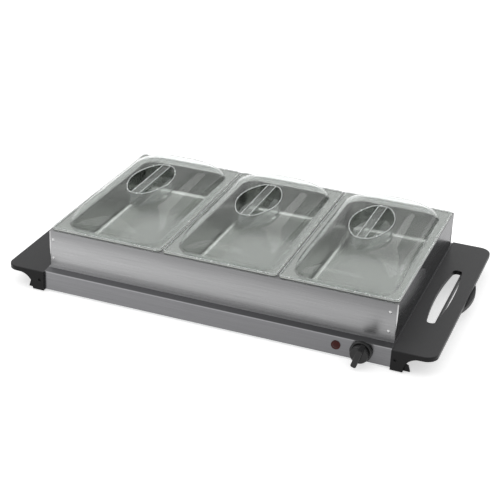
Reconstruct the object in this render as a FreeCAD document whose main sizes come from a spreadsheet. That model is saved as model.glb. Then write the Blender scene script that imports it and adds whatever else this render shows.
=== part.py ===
"""Three-pan electric food warmer: a warming base, a lift-off pan frame, three pans and three clear lids.

Millimetres. +X runs to the right-hand handle, -Y faces the user, +Z is up. The origin is on the table,
under the middle of the whole appliance, control knob included.
"""
import FreeCAD, Part
import math
import os
import Sketcher
from FreeCAD import Placement, Rotation, Vector

doc = FreeCAD.newDocument("FoodWarmer")
sheet = doc.addObject("Spreadsheet::Sheet", "Sizes")
finished = []
places = {}


class Length:
    """A length in millimetres that also carries its formula over the cells of the size sheet."""

    def __init__(self, value, formula):
        self.value = value
        self.formula = formula

    def __float__(self):
        return float(self.value)

    def __add__(self, other):
        return Length(float(self) + float(other), "(%s + %s)" % (self.formula, formula_of(other)))

    def __radd__(self, other):
        return Length(float(other) + float(self), "(%s + %s)" % (formula_of(other), self.formula))

    def __sub__(self, other):
        return Length(float(self) - float(other), "(%s - %s)" % (self.formula, formula_of(other)))

    def __rsub__(self, other):
        return Length(float(other) - float(self), "(%s - %s)" % (formula_of(other), self.formula))

    def __mul__(self, other):
        return Length(float(self) * float(other), "(%s * %s)" % (self.formula, formula_of(other)))

    __rmul__ = __mul__

    def __truediv__(self, other):
        return Length(float(self) / float(other), "(%s / %s)" % (self.formula, formula_of(other)))

    def __neg__(self):
        return Length(-float(self), "(0 - %s)" % self.formula)


def formula_of(number):
    return number.formula if isinstance(number, Length) else repr(float(number))


def size(name, value):
    """Write one driving size into the sheet under its own alias."""
    size.row += 1
    sheet.set("A%d" % size.row, name)
    sheet.set("B%d" % size.row, str(value))
    sheet.setAlias("B%d" % size.row, name)
    return Length(value, "Sizes.%s" % name)


size.row = 0

# Warming base: one pressed steel sheet with a front apron, a sloping shoulder and a raised hot panel
base_length = size("base_length", 502)
base_depth = size("base_depth", 342)
base_clearance = size("base_clearance", 2.5)
base_height = size("base_height", 30)
shoulder_rise = size("shoulder_rise", 2.5)
panel_raise = size("panel_raise", 1.2)
base_gauge = size("base_gauge", 0.8)
cover_gauge = size("cover_gauge", 0.8)
cover_gap = size("cover_gap", 1.0)
cover_recess = size("cover_recess", 1.2)
vent_length = size("vent_length", 36)
vent_width = size("vent_width", 4)
vent_pitch = size("vent_pitch", 12)

# Pan frame: four steel panels and two cross bars
frame_margin = size("frame_margin", 1)
shoulder_depth = size("shoulder_depth", 16)
shoulder_run = size("shoulder_run", 11)
frame_height = size("frame_height", 53.5)
frame_gauge = size("frame_gauge", 0.8)
top_flange = size("top_flange", 9)
foot_flange = size("foot_flange", 8)
foot_lip = size("foot_lip", 5)
corner_tab = size("corner_tab", 16)
locating_gap = size("locating_gap", 1.5)
cross_bar_width = size("cross_bar_width", 20)
cross_bar_height = size("cross_bar_height", 12)
rivet_shank = size("rivet_shank", 2.4)
rivet_head = size("rivet_head", 4.4)
rivet_head_height = size("rivet_head_height", 0.9)
rivet_inset_left = size("rivet_inset_left", 5)
rivet_inset_right = size("rivet_inset_right", 10)
rivet_low = size("rivet_low", 12)
rivet_high = size("rivet_high", 40)

# Pans
pan_gap = size("pan_gap", 1.9)
pan_side_margin = size("pan_side_margin", 0.6)
pan_end_margin = size("pan_end_margin", 4)
pan_well = size("pan_well", 48)
pan_gauge = size("pan_gauge", 0.8)
pan_rim_width = size("pan_rim_width", 13.2)
pan_rim_height = size("pan_rim_height", 1.6)
pan_rim_corner = size("pan_rim_corner", 6)
pan_mouth_corner = size("pan_mouth_corner", 24)
pan_floor_fillet = size("pan_floor_fillet", 8)
pan_draft_angle = size("pan_draft_angle", 5)
pan_throat = size("pan_throat", 2.6)
pan_edge_radius = size("pan_edge_radius", 1)

# Lids
lid_inset = size("lid_inset", 1)
lid_gauge = size("lid_gauge", 2)
lid_seat_gap = size("lid_seat_gap", 0.2)
lid_height = size("lid_height", 33)
lid_mouth_inset = size("lid_mouth_inset", 12.2)
lid_shoulder_radius = size("lid_shoulder_radius", 38)
grip_length = size("grip_length", 114)
grip_width = size("grip_width", 58)
grip_end = size("grip_end", 17)
grip_well = size("grip_well", 19)
grip_rim = size("grip_rim", 4)
fin_width = size("fin_width", 13)
fin_wall = size("fin_wall", 2)

# End handles
handle_reach = size("handle_reach", 58.5)
handle_overhang = size("handle_overhang", 4)
handle_thickness = size("handle_thickness", 6.5)
handle_corner = size("handle_corner", 17)
handle_edge = size("handle_edge", 1.6)
handle_wall = size("handle_wall", 2.5)
handle_back = size("handle_back", 12)
hand_hole_margin = size("hand_hole_margin", 91)
hand_hole_width = size("hand_hole_width", 23.5)
hand_hole_end = size("hand_hole_end", 6.5)
hand_hole_offset = size("hand_hole_offset", 28.3)
leg_width = size("leg_width", 17)
leg_depth = size("leg_depth", 22)
leg_arch = size("leg_arch", 20.5)
gusset_foot = size("gusset_foot", 8.6)
gusset_inset = size("gusset_inset", 5)
finger_bar_step = size("finger_bar_step", 3)
finger_bar_height = size("finger_bar_height", 7)
finger_bar_lap = size("finger_bar_lap", 7.2)
finger_tab_length = size("finger_tab_length", 88)
finger_tab_offset = size("finger_tab_offset", 28)
finger_tab_bulge = size("finger_tab_bulge", 5.5)
finger_tab_height = size("finger_tab_height", 8)
finger_tab_drop = size("finger_tab_drop", 1.5)
screw_dimple = size("screw_dimple", 4.4)
dimple_depth = size("dimple_depth", 1.5)
foot_diameter = size("foot_diameter", 12)
foot_stand = size("foot_stand", 1)
foot_plug = size("foot_plug", 6)
foot_plug_length = size("foot_plug_length", 5)
handle_screw = size("handle_screw", 3.5)
handle_screw_length = size("handle_screw_length", 14)
handle_screw_inset = size("handle_screw_inset", 55)
handle_boss = size("handle_boss", 8)

# Control knob, thermostat and pilot lamp
knob_inset = size("knob_inset", 40)
knob_level = size("knob_level", 17.2)
knob_diameter = size("knob_diameter", 30)
knob_skirt = size("knob_skirt", 5)
knob_body_diameter = size("knob_body_diameter", 25)
knob_reach = size("knob_reach", 24)
knob_grip_width = size("knob_grip_width", 8)
knob_grip_height = size("knob_grip_height", 27)
knob_gap = size("knob_gap", 1.2)
knob_tilt = size("knob_tilt", 16)
shaft_diameter = size("shaft_diameter", 6)
shaft_clearance = size("shaft_clearance", 0.05)
shaft_flat = size("shaft_flat", 1.5)
bush_diameter = size("bush_diameter", 9.4)
bush_length = size("bush_length", 4.6)
bush_nut_width = size("bush_nut_width", 14)
bush_nut_height = size("bush_nut_height", 2.2)
thermostat_width = size("thermostat_width", 30)
thermostat_depth = size("thermostat_depth", 24)
thermostat_height = size("thermostat_height", 19)
tab_width = size("tab_width", 6.3)
tab_gauge = size("tab_gauge", 0.8)
tab_length = size("tab_length", 8)
lamp_pitch = size("lamp_pitch", 35)
lamp_diameter = size("lamp_diameter", 12.7)
lamp_bulge = size("lamp_bulge", 2.4)
lamp_barrel = size("lamp_barrel", 9.6)
lamp_barrel_length = size("lamp_barrel_length", 22)

# Heaters, their clamp plates and what holds them
heater_end_margin = size("heater_end_margin", 26)
heater_side_margin = size("heater_side_margin", 22.5)
mica_gauge = size("mica_gauge", 0.6)
ribbon_gauge = size("ribbon_gauge", 0.3)
ribbon_width = size("ribbon_width", 4)
ribbon_runs = size("ribbon_runs", 9)
ribbon_margin = size("ribbon_margin", 14)
clamp_gauge = size("clamp_gauge", 1.0)
stud_diameter = size("stud_diameter", 3)
stud_length = size("stud_length", 8)
stud_margin = size("stud_margin", 5)
nut_width = size("nut_width", 5.5)
nut_height = size("nut_height", 2.4)
fuse_diameter = size("fuse_diameter", 4.5)
fuse_length = size("fuse_length", 16)
fuse_lead = size("fuse_lead", 1.2)
fuse_lead_reach = size("fuse_lead_reach", 4)
fuse_saddle = size("fuse_saddle", 8)
post_diameter = size("post_diameter", 7)
post_inset = size("post_inset", 8)
cover_screw = size("cover_screw", 3)
cover_screw_length = size("cover_screw_length", 10)
cover_screw_head = size("cover_screw_head", 6)
cover_screw_head_height = size("cover_screw_head_height", 1.6)
blanket_height = size("blanket_height", 8)
blanket_end_margin = size("blanket_end_margin", 21)
blanket_side_margin = size("blanket_side_margin", 66)
hole_clearance = size("hole_clearance", 0.2)

# Mains side
bush_bore = size("bush_bore", 7.4)
gland_diameter = size("gland_diameter", 13)
gland_head = size("gland_head", 18)
gland_head_height = size("gland_head_height", 4)
gland_length = size("gland_length", 12)
gland_inset = size("gland_inset", 45)
block_length = size("block_length", 36)
block_depth = size("block_depth", 17)
block_height = size("block_height", 14)
block_setback = size("block_setback", 20)
wire_diameter = size("wire_diameter", 2.4)
wire_level = size("wire_level", 17)
wire_step = size("wire_step", 10)
wire_rise = size("wire_rise", 8)
lamp_wire = size("lamp_wire", 1.7)

doc.recompute()

# Lengths, levels and places that follow from the sizes
frame_length = base_length - 2 * frame_margin
frame_depth = base_depth - 2 * shoulder_depth
pan_length = (frame_length - 2 * pan_side_margin - 2 * pan_gap) / 3
pan_depth = frame_depth - 2 * pan_end_margin
pan_spacing = pan_length + pan_gap
heater_length = pan_depth - 2 * heater_end_margin
heater_width = pan_length - 2 * heater_side_margin
blanket_length = base_length - 2 * blanket_end_margin
blanket_depth = base_depth - 2 * blanket_side_margin
handle_depth = base_depth + 2 * handle_overhang
hand_hole_length = handle_depth - 2 * hand_hole_margin
handle_screw_spacing = handle_depth / 2 - handle_screw_inset
knob_offset = base_length / 2 - knob_inset
lamp_offset = knob_offset - lamp_pitch
gland_offset = base_length / 2 - gland_inset
cover_low = base_clearance + cover_recess
cover_top = cover_low + cover_gauge
deck_level = base_height + shoulder_rise
hot_panel_level = deck_level + panel_raise
hot_panel_under = hot_panel_level - base_gauge
frame_top = deck_level + frame_height
rim_level = frame_top + pan_rim_height
lid_foot = rim_level + lid_seat_gap
front_face = -base_depth / 2
rear_face = base_depth / 2
end_face = base_length / 2
panel_half_length = frame_length / 2 - foot_flange - locating_gap
panel_half_depth = frame_depth / 2 - foot_flange - locating_gap
handle_under = base_height - handle_thickness
leg_foot = foot_stand
heater_under = hot_panel_under - 2 * mica_gauge - ribbon_gauge
clamp_under = heater_under - clamp_gauge
pan_places = (("left", -pan_spacing), ("middle", 0), ("right", pan_spacing))
# The knob stands out of the front, so the middle of the whole lies ahead of the middle of the base
front_reach = base_depth / 2 + knob_gap + knob_reach
origin_shift = (front_reach - handle_depth / 2) / 2


def bind(target, **formulas):
    for prop, number in formulas.items():
        if isinstance(number, Length):
            target.setExpression(prop, number.formula)
        else:
            setattr(target, prop, number)


def put(target, x=0, y=0, z=0):
    """Bind an object's place to the sheet, and remember it."""
    places[target.Name] = (x, y, z)
    for axis, number in (("x", x), ("y", y), ("z", z)):
        target.setExpression(".Placement.Base.%s" % axis, formula_of(number))


def box(name, length, width, height, x, y, z, centred="xy"):
    """A block whose x or y is its middle when that letter is in centred, and its low side otherwise."""
    block = doc.addObject("Part::Box", name)
    bind(block, Length=length, Width=width, Height=height)
    put(block, x - length / 2 if "x" in centred else x, y - width / 2 if "y" in centred else y, z)
    return block


UP = Rotation()
TO_FRONT = Rotation(Vector(1, 0, 0), 90)
TO_BACK = Rotation(Vector(1, 0, 0), -90)
TO_RIGHT = Rotation(Vector(0, 1, 0), 90)
TO_LEFT = Rotation(Vector(0, 1, 0), -90)


def rod(name, diameter, height, x, y, z, turn=UP):
    cylinder = doc.addObject("Part::Cylinder", name)
    bind(cylinder, Radius=diameter / 2, Height=height)
    cylinder.Placement = Placement(Vector(), turn)
    put(cylinder, x, y, z)
    return cylinder


def hexagon(name, across_flats, height, x, y, z, turn=UP):
    prism = doc.addObject("Part::Prism", name)
    prism.Polygon = 6
    bind(prism, Circumradius=across_flats / math.sqrt(3), Height=height)
    prism.Placement = Placement(Vector(), turn)
    put(prism, x, y, z)
    return prism


def fuse(name, shapes):
    union = doc.addObject("Part::MultiFuse", name)
    union.Shapes = shapes
    return union


def cut(name, base, tools):
    result = doc.addObject("Part::Cut", name)
    result.Base = base
    result.Tool = tools[0] if len(tools) == 1 else fuse(name + "_tools", tools)
    return result


def group(name, shapes):
    compound = doc.addObject("Part::Compound", name)
    compound.Links = shapes
    return compound


def part(node, thing, slide_x=0):
    """Name a finished piece and move it from the base's middle to the appliance's origin."""
    thing.Label = node
    x, y, z = places.get(thing.Name, (0, 0, 0))
    put(thing, x + slide_x, y + origin_shift, z)
    finished.append(thing)


def plain(node, shape):
    """A piece whose shape is worked out here from the same sizes."""
    feature = doc.addObject("Part::Feature", node + "_shape")
    feature.Shape = shape
    return part(node, feature)


def body(name):
    return doc.addObject("PartDesign::Body", name)


def sketch_on(owner, role, name, offset=0):
    plane = [item for item in owner.Origin.OriginFeatures if item.Role == role][0]
    drawing = owner.newObject("Sketcher::SketchObject", name)
    drawing.AttachmentSupport = [(plane, "")]
    drawing.MapMode = "FlatFace"
    drawing.setExpression(".AttachmentOffset.Base.z", formula_of(offset))
    return drawing


def rounded_rectangle(drawing, width, depth, radius):
    """Four lines and four tangent arcs about the sketch's origin, held by width, depth and radius."""
    right, top, r = float(width) / 2, float(depth) / 2, float(radius)
    first = drawing.GeometryCount
    corners = ((right - r, -top + r, -90), (right - r, top - r, 0), (-right + r, top - r, 90),
               (-right + r, -top + r, 180))
    starts = ((-right + r, -top), (right, -top + r), (right - r, top), (-right, top - r))
    ends = ((right - r, -top), (right, top - r), (-right + r, top), (-right, -top + r))
    for start, end, (cx, cy, angle) in zip(starts, ends, corners):
        drawing.addGeometry(Part.LineSegment(Vector(*start, 0), Vector(*end, 0)))
        circle = Part.Circle(Vector(cx, cy, 0), Vector(0, 0, 1), r)
        drawing.addGeometry(Part.ArcOfCircle(circle, math.radians(angle), math.radians(angle + 90)))
    for side in range(4):
        line, arc, following = first + 2 * side, first + 2 * side + 1, first + (2 * side + 2) % 8
        drawing.addConstraint(Sketcher.Constraint("Tangent", line, 2, arc, 1))
        drawing.addConstraint(Sketcher.Constraint("Tangent", arc, 2, following, 1))
        drawing.addConstraint(Sketcher.Constraint("Vertical" if side % 2 else "Horizontal", line))
    for arc in (3, 5, 7):
        drawing.addConstraint(Sketcher.Constraint("Equal", first + 1, first + arc))
    held = (
        (Sketcher.Constraint("Radius", first + 1, r), radius),
        (Sketcher.Constraint("DistanceX", first + 6, 1, first + 2, 1, 2 * right), width),
        (Sketcher.Constraint("DistanceY", first, 1, first + 4, 1, 2 * top), depth),
        (Sketcher.Constraint("DistanceX", -1, 1, first + 2, 1, right), width / 2),
        (Sketcher.Constraint("DistanceY", -1, 1, first + 4, 1, top), depth / 2),
    )
    for constraint, number in held:
        index = drawing.addConstraint(constraint)
        if isinstance(number, Length):
            drawing.setExpression("Constraints[%d]" % index, number.formula)


def circle_in(drawing, diameter, x=0, y=0):
    index = drawing.addGeometry(Part.Circle(Vector(float(x), float(y), 0), Vector(0, 0, 1),
                                            float(diameter) / 2))
    held = (
        (Sketcher.Constraint("Diameter", index, float(diameter)), diameter),
        (Sketcher.Constraint("DistanceX", -1, 1, index, 3, float(x)), x),
        (Sketcher.Constraint("DistanceY", -1, 1, index, 3, float(y)), y),
    )
    for constraint, number in held:
        place = drawing.addConstraint(constraint)
        if isinstance(number, Length):
            drawing.setExpression("Constraints[%d]" % place, number.formula)


def pad(owner, drawing, length, name, down=False):
    feature = owner.newObject("PartDesign::Pad", name)
    feature.Profile = drawing
    bind(feature, Length=length)
    feature.Reversed = down
    return feature


def pocket(owner, drawing, length, name, up=False):
    """A pocket checked by volume, because one that points away from the solid cuts nothing."""
    before = owner.Tip.Shape.Volume
    feature = owner.newObject("PartDesign::Pocket", name)
    feature.Profile = drawing
    bind(feature, Length=length)
    feature.Reversed = up
    doc.recompute()
    if feature.Shape.Volume >= before:
        raise RuntimeError("%s cuts nothing" % name)
    return feature


def round_edges(owner, name, radius, wanted):
    """Fillet the edges of the body's last feature for which wanted(edge) holds."""
    doc.recompute()
    base = owner.Tip
    names = ["Edge%d" % (n + 1) for n, edge in enumerate(base.Shape.Edges) if wanted(edge)]
    feature = owner.newObject("PartDesign::Fillet", name)
    feature.Base = (base, names)
    bind(feature, Radius=radius)
    doc.recompute()
    return feature


def level_at(edge, height):
    bounds = edge.BoundBox
    return abs(bounds.ZMin - float(height)) < 0.01 and abs(bounds.ZMax - float(height)) < 0.01


def inside(edge, length, depth):
    """Whether an edge lies within a rectangle about the sketch's origin."""
    bounds = edge.BoundBox
    return (max(bounds.XMax, -bounds.XMin) < float(length) / 2
            and max(bounds.YMax, -bounds.YMin) < float(depth) / 2)


def frustum(name, low_length, low_depth, high_length, high_depth, low, high):
    """A four-sided block that narrows upwards about the middle."""
    wedge = doc.addObject("Part::Wedge", name)
    bind(wedge, Xmin=-low_length / 2, Xmax=low_length / 2, Zmin=-low_depth / 2, Zmax=low_depth / 2)
    bind(wedge, X2min=-high_length / 2, X2max=high_length / 2, Z2min=-high_depth / 2, Z2max=high_depth / 2)
    wedge.Ymin = 0
    bind(wedge, Ymax=high - low)
    wedge.Placement = Placement(Vector(), TO_FRONT)
    put(wedge, 0, 0, low)
    return wedge


def base_volume(name, inset, low):
    """The base's outer form, or with an inset the space inside its sheet."""
    length, depth = base_length - 2 * inset, base_depth - 2 * inset
    deck_length, deck_depth = frame_length - 2 * inset, depth - 2 * shoulder_run
    shoulder, deck, panel = base_height - inset, deck_level - inset, hot_panel_level - inset
    apron = box(name + "_apron", length, depth, shoulder - low, 0, 0, low)
    slope = frustum(name + "_slope", length, depth, deck_length, deck_depth, shoulder, deck)
    foot_length, foot_depth = 2 * panel_half_length - 2 * inset, 2 * panel_half_depth - 2 * inset
    chamfer = 2 * panel_raise
    raised = frustum(name + "_panel", foot_length, foot_depth, foot_length - chamfer, foot_depth - chamfer,
                     deck, panel)
    return fuse(name, [apron, slope, raised])


corner_posts = [
    (side * (panel_half_length - post_inset), end * (panel_half_depth - post_inset))
    for side in (-1, 1)
    for end in (-1, 1)
]
middle_posts = [(side * pan_spacing / 2, 0) for side in (-1, 1)]
post_places = corner_posts + middle_posts
stud_places = [
    (place + side * (heater_width / 2 - stud_margin), end * (heater_length / 2 - stud_margin))
    for label, place in pan_places
    for side in (-1, 1)
    for end in (-1, 1)
]
screw_rows = [(side, row * handle_screw_spacing) for side in (-1, 1) for row in (-1, 0, 1)]
screw_level = base_height - handle_back / 2


def make_base_shell():
    outer = base_volume("base_outer", 0, base_clearance)
    inner = base_volume("base_inner", base_gauge, base_clearance - 1)
    openings = [
        rod("bush_opening", bush_diameter + hole_clearance, 4, knob_offset, front_face + 2, knob_level,
            TO_FRONT),
        rod("lamp_opening", lamp_barrel + hole_clearance, 4, lamp_offset, front_face + 2, knob_level,
            TO_FRONT),
        rod("gland_opening", gland_diameter + hole_clearance, 4, gland_offset, rear_face - 2, knob_level,
            TO_BACK),
    ]
    for number, (side, along) in enumerate(screw_rows):
        hole = handle_screw + hole_clearance
        openings.append(rod("end_hole%d" % number, hole, 4, side * end_face - 2, along, screw_level,
                            TO_RIGHT))
    part("base_shell", cut("base_shell_cut", outer, [inner] + openings))


def make_bottom_cover():
    length = base_length - 2 * (base_gauge + cover_gap)
    depth = base_depth - 2 * (base_gauge + cover_gap)
    plate = box("cover_plate", length, depth, cover_gauge, 0, 0, cover_low)
    tools = []
    for number, (x, y) in enumerate(post_places):
        tools.append(rod("cover_hole%d" % number, cover_screw + hole_clearance, 3 * cover_gauge, x, y,
                         cover_low - cover_gauge))
    for side in (-1, 1):
        for row in range(-2, 3):
            for end in (-1, 1):
                tools.append(box("vent%d_%d_%d" % (side, row, end), vent_width, vent_length, 3 * cover_gauge,
                                 side * pan_spacing + row * vent_pitch,
                                 end * blanket_depth / 2 + end * vent_length * 0.6,
                                 cover_low - cover_gauge))
    part("bottom_cover", cut("bottom_cover_cut", plate, tools))
    screws, posts = [], []
    for number, (x, y) in enumerate(post_places):
        head = rod("screw_head%d" % number, cover_screw_head, cover_screw_head_height, x, y,
                   cover_low - cover_screw_head_height)
        shank = rod("screw_shank%d" % number, cover_screw, cover_screw_length, x, y, cover_low)
        slot = box("screw_slot%d" % number, 1, cover_screw_head * 0.7, 0.7, x, y,
                   cover_low - cover_screw_head_height)
        screws.append(cut("cover_screw%d" % number, fuse("screw%d" % number, [head, shank]), [slot]))
        post = rod("post_solid%d" % number, post_diameter, hot_panel_under - cover_top, x, y, cover_top)
        bore = rod("post_bore%d" % number, cover_screw + hole_clearance, cover_screw_length + 1, x, y,
                   cover_top - 0.5)
        posts.append(cut("post%d" % number, post, [bore]))
    part("bottom_cover_screws", group("cover_screws", screws))
    part("standoff_posts", group("posts", posts))


def make_heater(label, place):
    """Mica sheet, resistance ribbon, mica sheet and clamp plate, from the hot panel down."""
    holes = []
    for number, (x, y) in enumerate(stud_places):
        if abs(float(x) - float(place)) < float(heater_width):
            holes.append((x, y))

    def sheet_with_holes(name, thickness, low):
        plate = box(name + "_plate", heater_width, heater_length, thickness, place, 0, low)
        tools = [rod("%s_hole%d" % (name, n), stud_diameter + 2 * hole_clearance, 3 * thickness, x, y,
                     low - thickness)
                 for n, (x, y) in enumerate(holes)]
        return cut(name, plate, tools)

    upper_low = hot_panel_under - mica_gauge
    part("heater_mica_" + label, sheet_with_holes("mica_" + label, mica_gauge, upper_low))
    part("heater_backing_" + label, sheet_with_holes("backing_" + label, mica_gauge, heater_under))
    part("clamp_plate_" + label, sheet_with_holes("clamp_" + label, clamp_gauge, clamp_under))
    strips = []
    pitch = (heater_width - 2 * ribbon_margin - ribbon_width) / (ribbon_runs - 1)
    run = heater_length - 2 * ribbon_margin
    ribbon_low = heater_under + mica_gauge
    first = place - heater_width / 2 + ribbon_margin + ribbon_width / 2
    for number in range(int(float(ribbon_runs))):
        x = first + number * pitch
        strips.append(box("run_%s%d" % (label, number), ribbon_width, run, ribbon_gauge, x, 0, ribbon_low))
        if number:
            end = 1 if number % 2 else -1
            strips.append(box("turn_%s%d" % (label, number), pitch + ribbon_width, ribbon_width, ribbon_gauge,
                              x - pitch / 2, end * (run - ribbon_width) / 2, ribbon_low))
    part("heater_ribbon_" + label, fuse("ribbon_" + label, strips))


def make_studs():
    studs, nuts = [], []
    for number, (x, y) in enumerate(stud_places):
        low = hot_panel_under - stud_length
        studs.append(rod("stud%d" % number, stud_diameter, stud_length, x, y, low))
        nut = hexagon("nut_solid%d" % number, nut_width, nut_height, x, y, clamp_under - nut_height)
        bore = rod("nut_bore%d" % number, stud_diameter + hole_clearance / 2, 2 * nut_height, x, y,
                   clamp_under - 1.5 * nut_height)
        nuts.append(cut("nut%d" % number, nut, [bore]))
    part("heater_studs", group("studs", studs))
    part("heater_nuts", group("nuts", nuts))


def make_blanket():
    slab = box("blanket_slab", blanket_length, blanket_depth, blanket_height, 0, 0, cover_top)
    tools = []
    for number, (x, y) in enumerate(middle_posts):
        tools.append(rod("blanket_hole%d" % number, post_diameter + 2, 3 * blanket_height, x, y,
                         cover_top - blanket_height))
    part("insulation_blanket", cut("blanket", slab, tools))


def wire(points, diameter):
    """A round wire along straight runs joined by tangent arcs as large as the runs allow."""
    points = [Vector(*(float(number) for number in point)) for point in points]
    edges = []
    start = points[0]
    for before, corner, after in zip(points, points[1:], points[2:]):
        into, out = corner - before, after - corner
        turn = into.getAngle(out)
        trim = 0.45 * min(into.Length, out.Length)
        radius = trim / math.tan(turn / 2)
        entry = corner - into.normalize() * trim
        leave = corner + out.normalize() * trim
        bisector = (out - into).normalize()
        centre = corner + bisector * math.hypot(trim, radius)
        middle = centre - bisector * radius
        edges.append(Part.LineSegment(start, entry).toShape())
        edges.append(Part.Arc(entry, middle, leave).toShape())
        start = leave
    edges.append(Part.LineSegment(start, points[-1]).toShape())
    path = Part.Wire(edges)
    direction = points[1] - points[0]
    profile = Part.Wire([Part.makeCircle(float(diameter) / 2, points[0], direction)])
    solid = path.makePipeShell([profile], True, False)
    expected = math.pi * float(diameter) ** 2 / 4 * path.Length
    if abs(solid.Volume - expected) > 0.02 * expected:
        raise RuntimeError("a wire's volume does not match its length")
    return solid


def make_thermal_fuse():
    """A one-shot cut-out with a lead at each end, in a saddle under the middle clamp plate."""
    level = clamp_under - fuse_diameter / 2 - base_gauge
    along = pan_spacing / 4
    cartridge = Part.makeCylinder(float(fuse_diameter) / 2, float(fuse_length),
                                  Vector(-float(fuse_length) / 2, float(along), float(level)),
                                  Vector(1, 0, 0))
    leads = []
    for side in (-1, 1):
        start, bend = side * fuse_length / 2, side * (fuse_length / 2 + fuse_lead_reach)
        leads.append(wire([(start, along, level), (bend, along, level), (bend, along, clamp_under)],
                          fuse_lead))
    plain("thermal_fuse", cartridge.fuse(leads))
    saddle = box("saddle_block", fuse_saddle, fuse_diameter + 4 * base_gauge, fuse_diameter + 2 * base_gauge,
                 0, along, clamp_under - fuse_diameter - 2 * base_gauge)
    tunnel = rod("saddle_tunnel", fuse_diameter + 2 * shaft_clearance, 2 * fuse_saddle, -fuse_saddle,
                 along, level, TO_RIGHT)
    part("fuse_saddle", cut("saddle", saddle, [tunnel]))


def make_thermostat():
    inner_face = front_face + base_gauge
    block = box("thermostat_block", thermostat_width, thermostat_depth, thermostat_height, knob_offset,
                inner_face,
                knob_level - thermostat_height / 2, centred="x")
    bush = rod("thermostat_bush", bush_diameter, bush_length + base_gauge, knob_offset, inner_face,
               knob_level, TO_FRONT)
    bore_length = bush_length + base_gauge + thermostat_depth / 2
    bore = rod("thermostat_bore", shaft_diameter + 2 * shaft_clearance, bore_length + 1, knob_offset,
               inner_face + thermostat_depth / 2, knob_level, TO_FRONT)
    part("thermostat_body", cut("thermostat", fuse("thermostat_solid", [block, bush]), [bore]))
    nut = hexagon("bush_nut_solid", bush_nut_width, bush_nut_height, knob_offset, front_face, knob_level,
                  TO_FRONT)
    thread = rod("bush_nut_bore", bush_diameter + hole_clearance / 2, 2 * bush_nut_height, knob_offset,
                 front_face + bush_nut_height / 2, knob_level, TO_FRONT)
    part("thermostat_nut", cut("bush_nut", nut, [thread]))
    tabs = []
    for side in (-1, 1):
        tabs.append(box("tab%d" % side, tab_width, tab_length, tab_gauge,
                        knob_offset + side * tab_width * 1.3,
                        inner_face + thermostat_depth, knob_level, centred="x"))
    part("thermostat_tabs", group("tabs", tabs))


def make_shaft():
    """The thermostat's spindle, flatted where the knob grips it."""
    length = thermostat_depth / 2 + base_gauge + knob_gap + knob_reach * 0.6
    start = front_face + base_gauge + thermostat_depth / 2 - hole_clearance
    spindle = rod("spindle", shaft_diameter, length - hole_clearance, knob_offset, start, knob_level,
                  TO_FRONT)
    flat_start = front_face - bush_length
    flat = box("spindle_flat", shaft_diameter, knob_reach, shaft_flat, knob_offset, flat_start - knob_reach,
               knob_level + shaft_diameter / 2 - shaft_flat, centred="x")
    part("thermostat_shaft", cut("shaft", spindle, [flat]))
    clip_height = shaft_flat * 0.7
    clip = box("clip", shaft_diameter * 0.5, knob_reach * 0.3, clip_height, knob_offset,
               front_face - knob_gap - knob_reach * 0.55, knob_level + shaft_diameter / 2 - shaft_flat,
               centred="x")
    part("knob_clip", clip)


def make_knob():
    """Skirt, tapered body and a raised bar grip, turned about the spindle."""
    knob = body("knob_body")
    ring = sketch_on(knob, "XY_Plane", "skirt_outline")
    circle_in(ring, knob_diameter)
    pad(knob, ring, knob_skirt, "skirt")
    round_edges(knob, "skirt_round", knob_skirt * 0.3, lambda edge: level_at(edge, knob_skirt))
    disc = sketch_on(knob, "XY_Plane", "boss_outline")
    circle_in(disc, knob_body_diameter)
    pad(knob, disc, knob_reach * 0.55, "boss")
    round_edges(knob, "boss_round", knob_skirt * 0.4, lambda edge: level_at(edge, knob_reach * 0.55))
    bar = sketch_on(knob, "XY_Plane", "bar_outline")
    rounded_rectangle(bar, knob_grip_width, knob_grip_height, knob_grip_width * 0.3)
    pad(knob, bar, knob_reach, "bar")
    round_edges(knob, "bar_round", knob_grip_width * 0.15, lambda edge: level_at(edge, knob_reach))
    recess = sketch_on(knob, "XY_Plane", "recess_outline")
    circle_in(recess, bush_nut_width * 2 / math.sqrt(3) + 2)
    pocket(knob, recess, bush_length, "recess", up=True)
    hole = sketch_on(knob, "XY_Plane", "hole_outline")
    circle_in(hole, shaft_diameter + 2 * shaft_clearance)
    pocket(knob, hole, knob_reach * 0.65, "spindle_hole", up=True)
    tilt = Rotation(Vector(0, 1, 0), float(knob_tilt))
    knob.Placement = Placement(Vector(), tilt.multiply(TO_FRONT))
    put(knob, knob_offset, front_face - knob_gap, knob_level)
    part("control_knob", knob)


def make_lamp():
    """Pilot lamp: a domed lens outside, its holder inside, and the push nut that grips the holder."""
    flange = rod("lens_flange", lamp_diameter, lamp_bulge * 0.4, lamp_offset, front_face, knob_level,
                 TO_FRONT)
    crown_half = lamp_diameter * 0.44
    radius = (crown_half * crown_half + lamp_bulge * lamp_bulge) / (2 * lamp_bulge)
    ball = doc.addObject("Part::Sphere", "lens_ball")
    bind(ball, Radius=radius)
    put(ball, lamp_offset, front_face - lamp_bulge + radius, knob_level)
    keep = rod("lens_keep", 2 * crown_half, lamp_bulge, lamp_offset, front_face, knob_level, TO_FRONT)
    crown = doc.addObject("Part::Common", "lens_crown")
    crown.Base = ball
    crown.Tool = keep
    part("indicator_lens", fuse("lens", [flange, crown]))
    part("indicator_holder",
         rod("lamp_barrel", lamp_barrel, lamp_barrel_length, lamp_offset, front_face, knob_level, TO_BACK))
    nut = rod("lamp_nut_solid", lamp_barrel + 6, base_gauge * 2, lamp_offset, front_face + base_gauge,
              knob_level, TO_BACK)
    bore = rod("lamp_nut_bore", lamp_barrel + hole_clearance / 2, base_gauge * 4, lamp_offset, front_face,
               knob_level, TO_BACK)
    part("indicator_nut", cut("lamp_nut", nut, [bore]))


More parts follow.
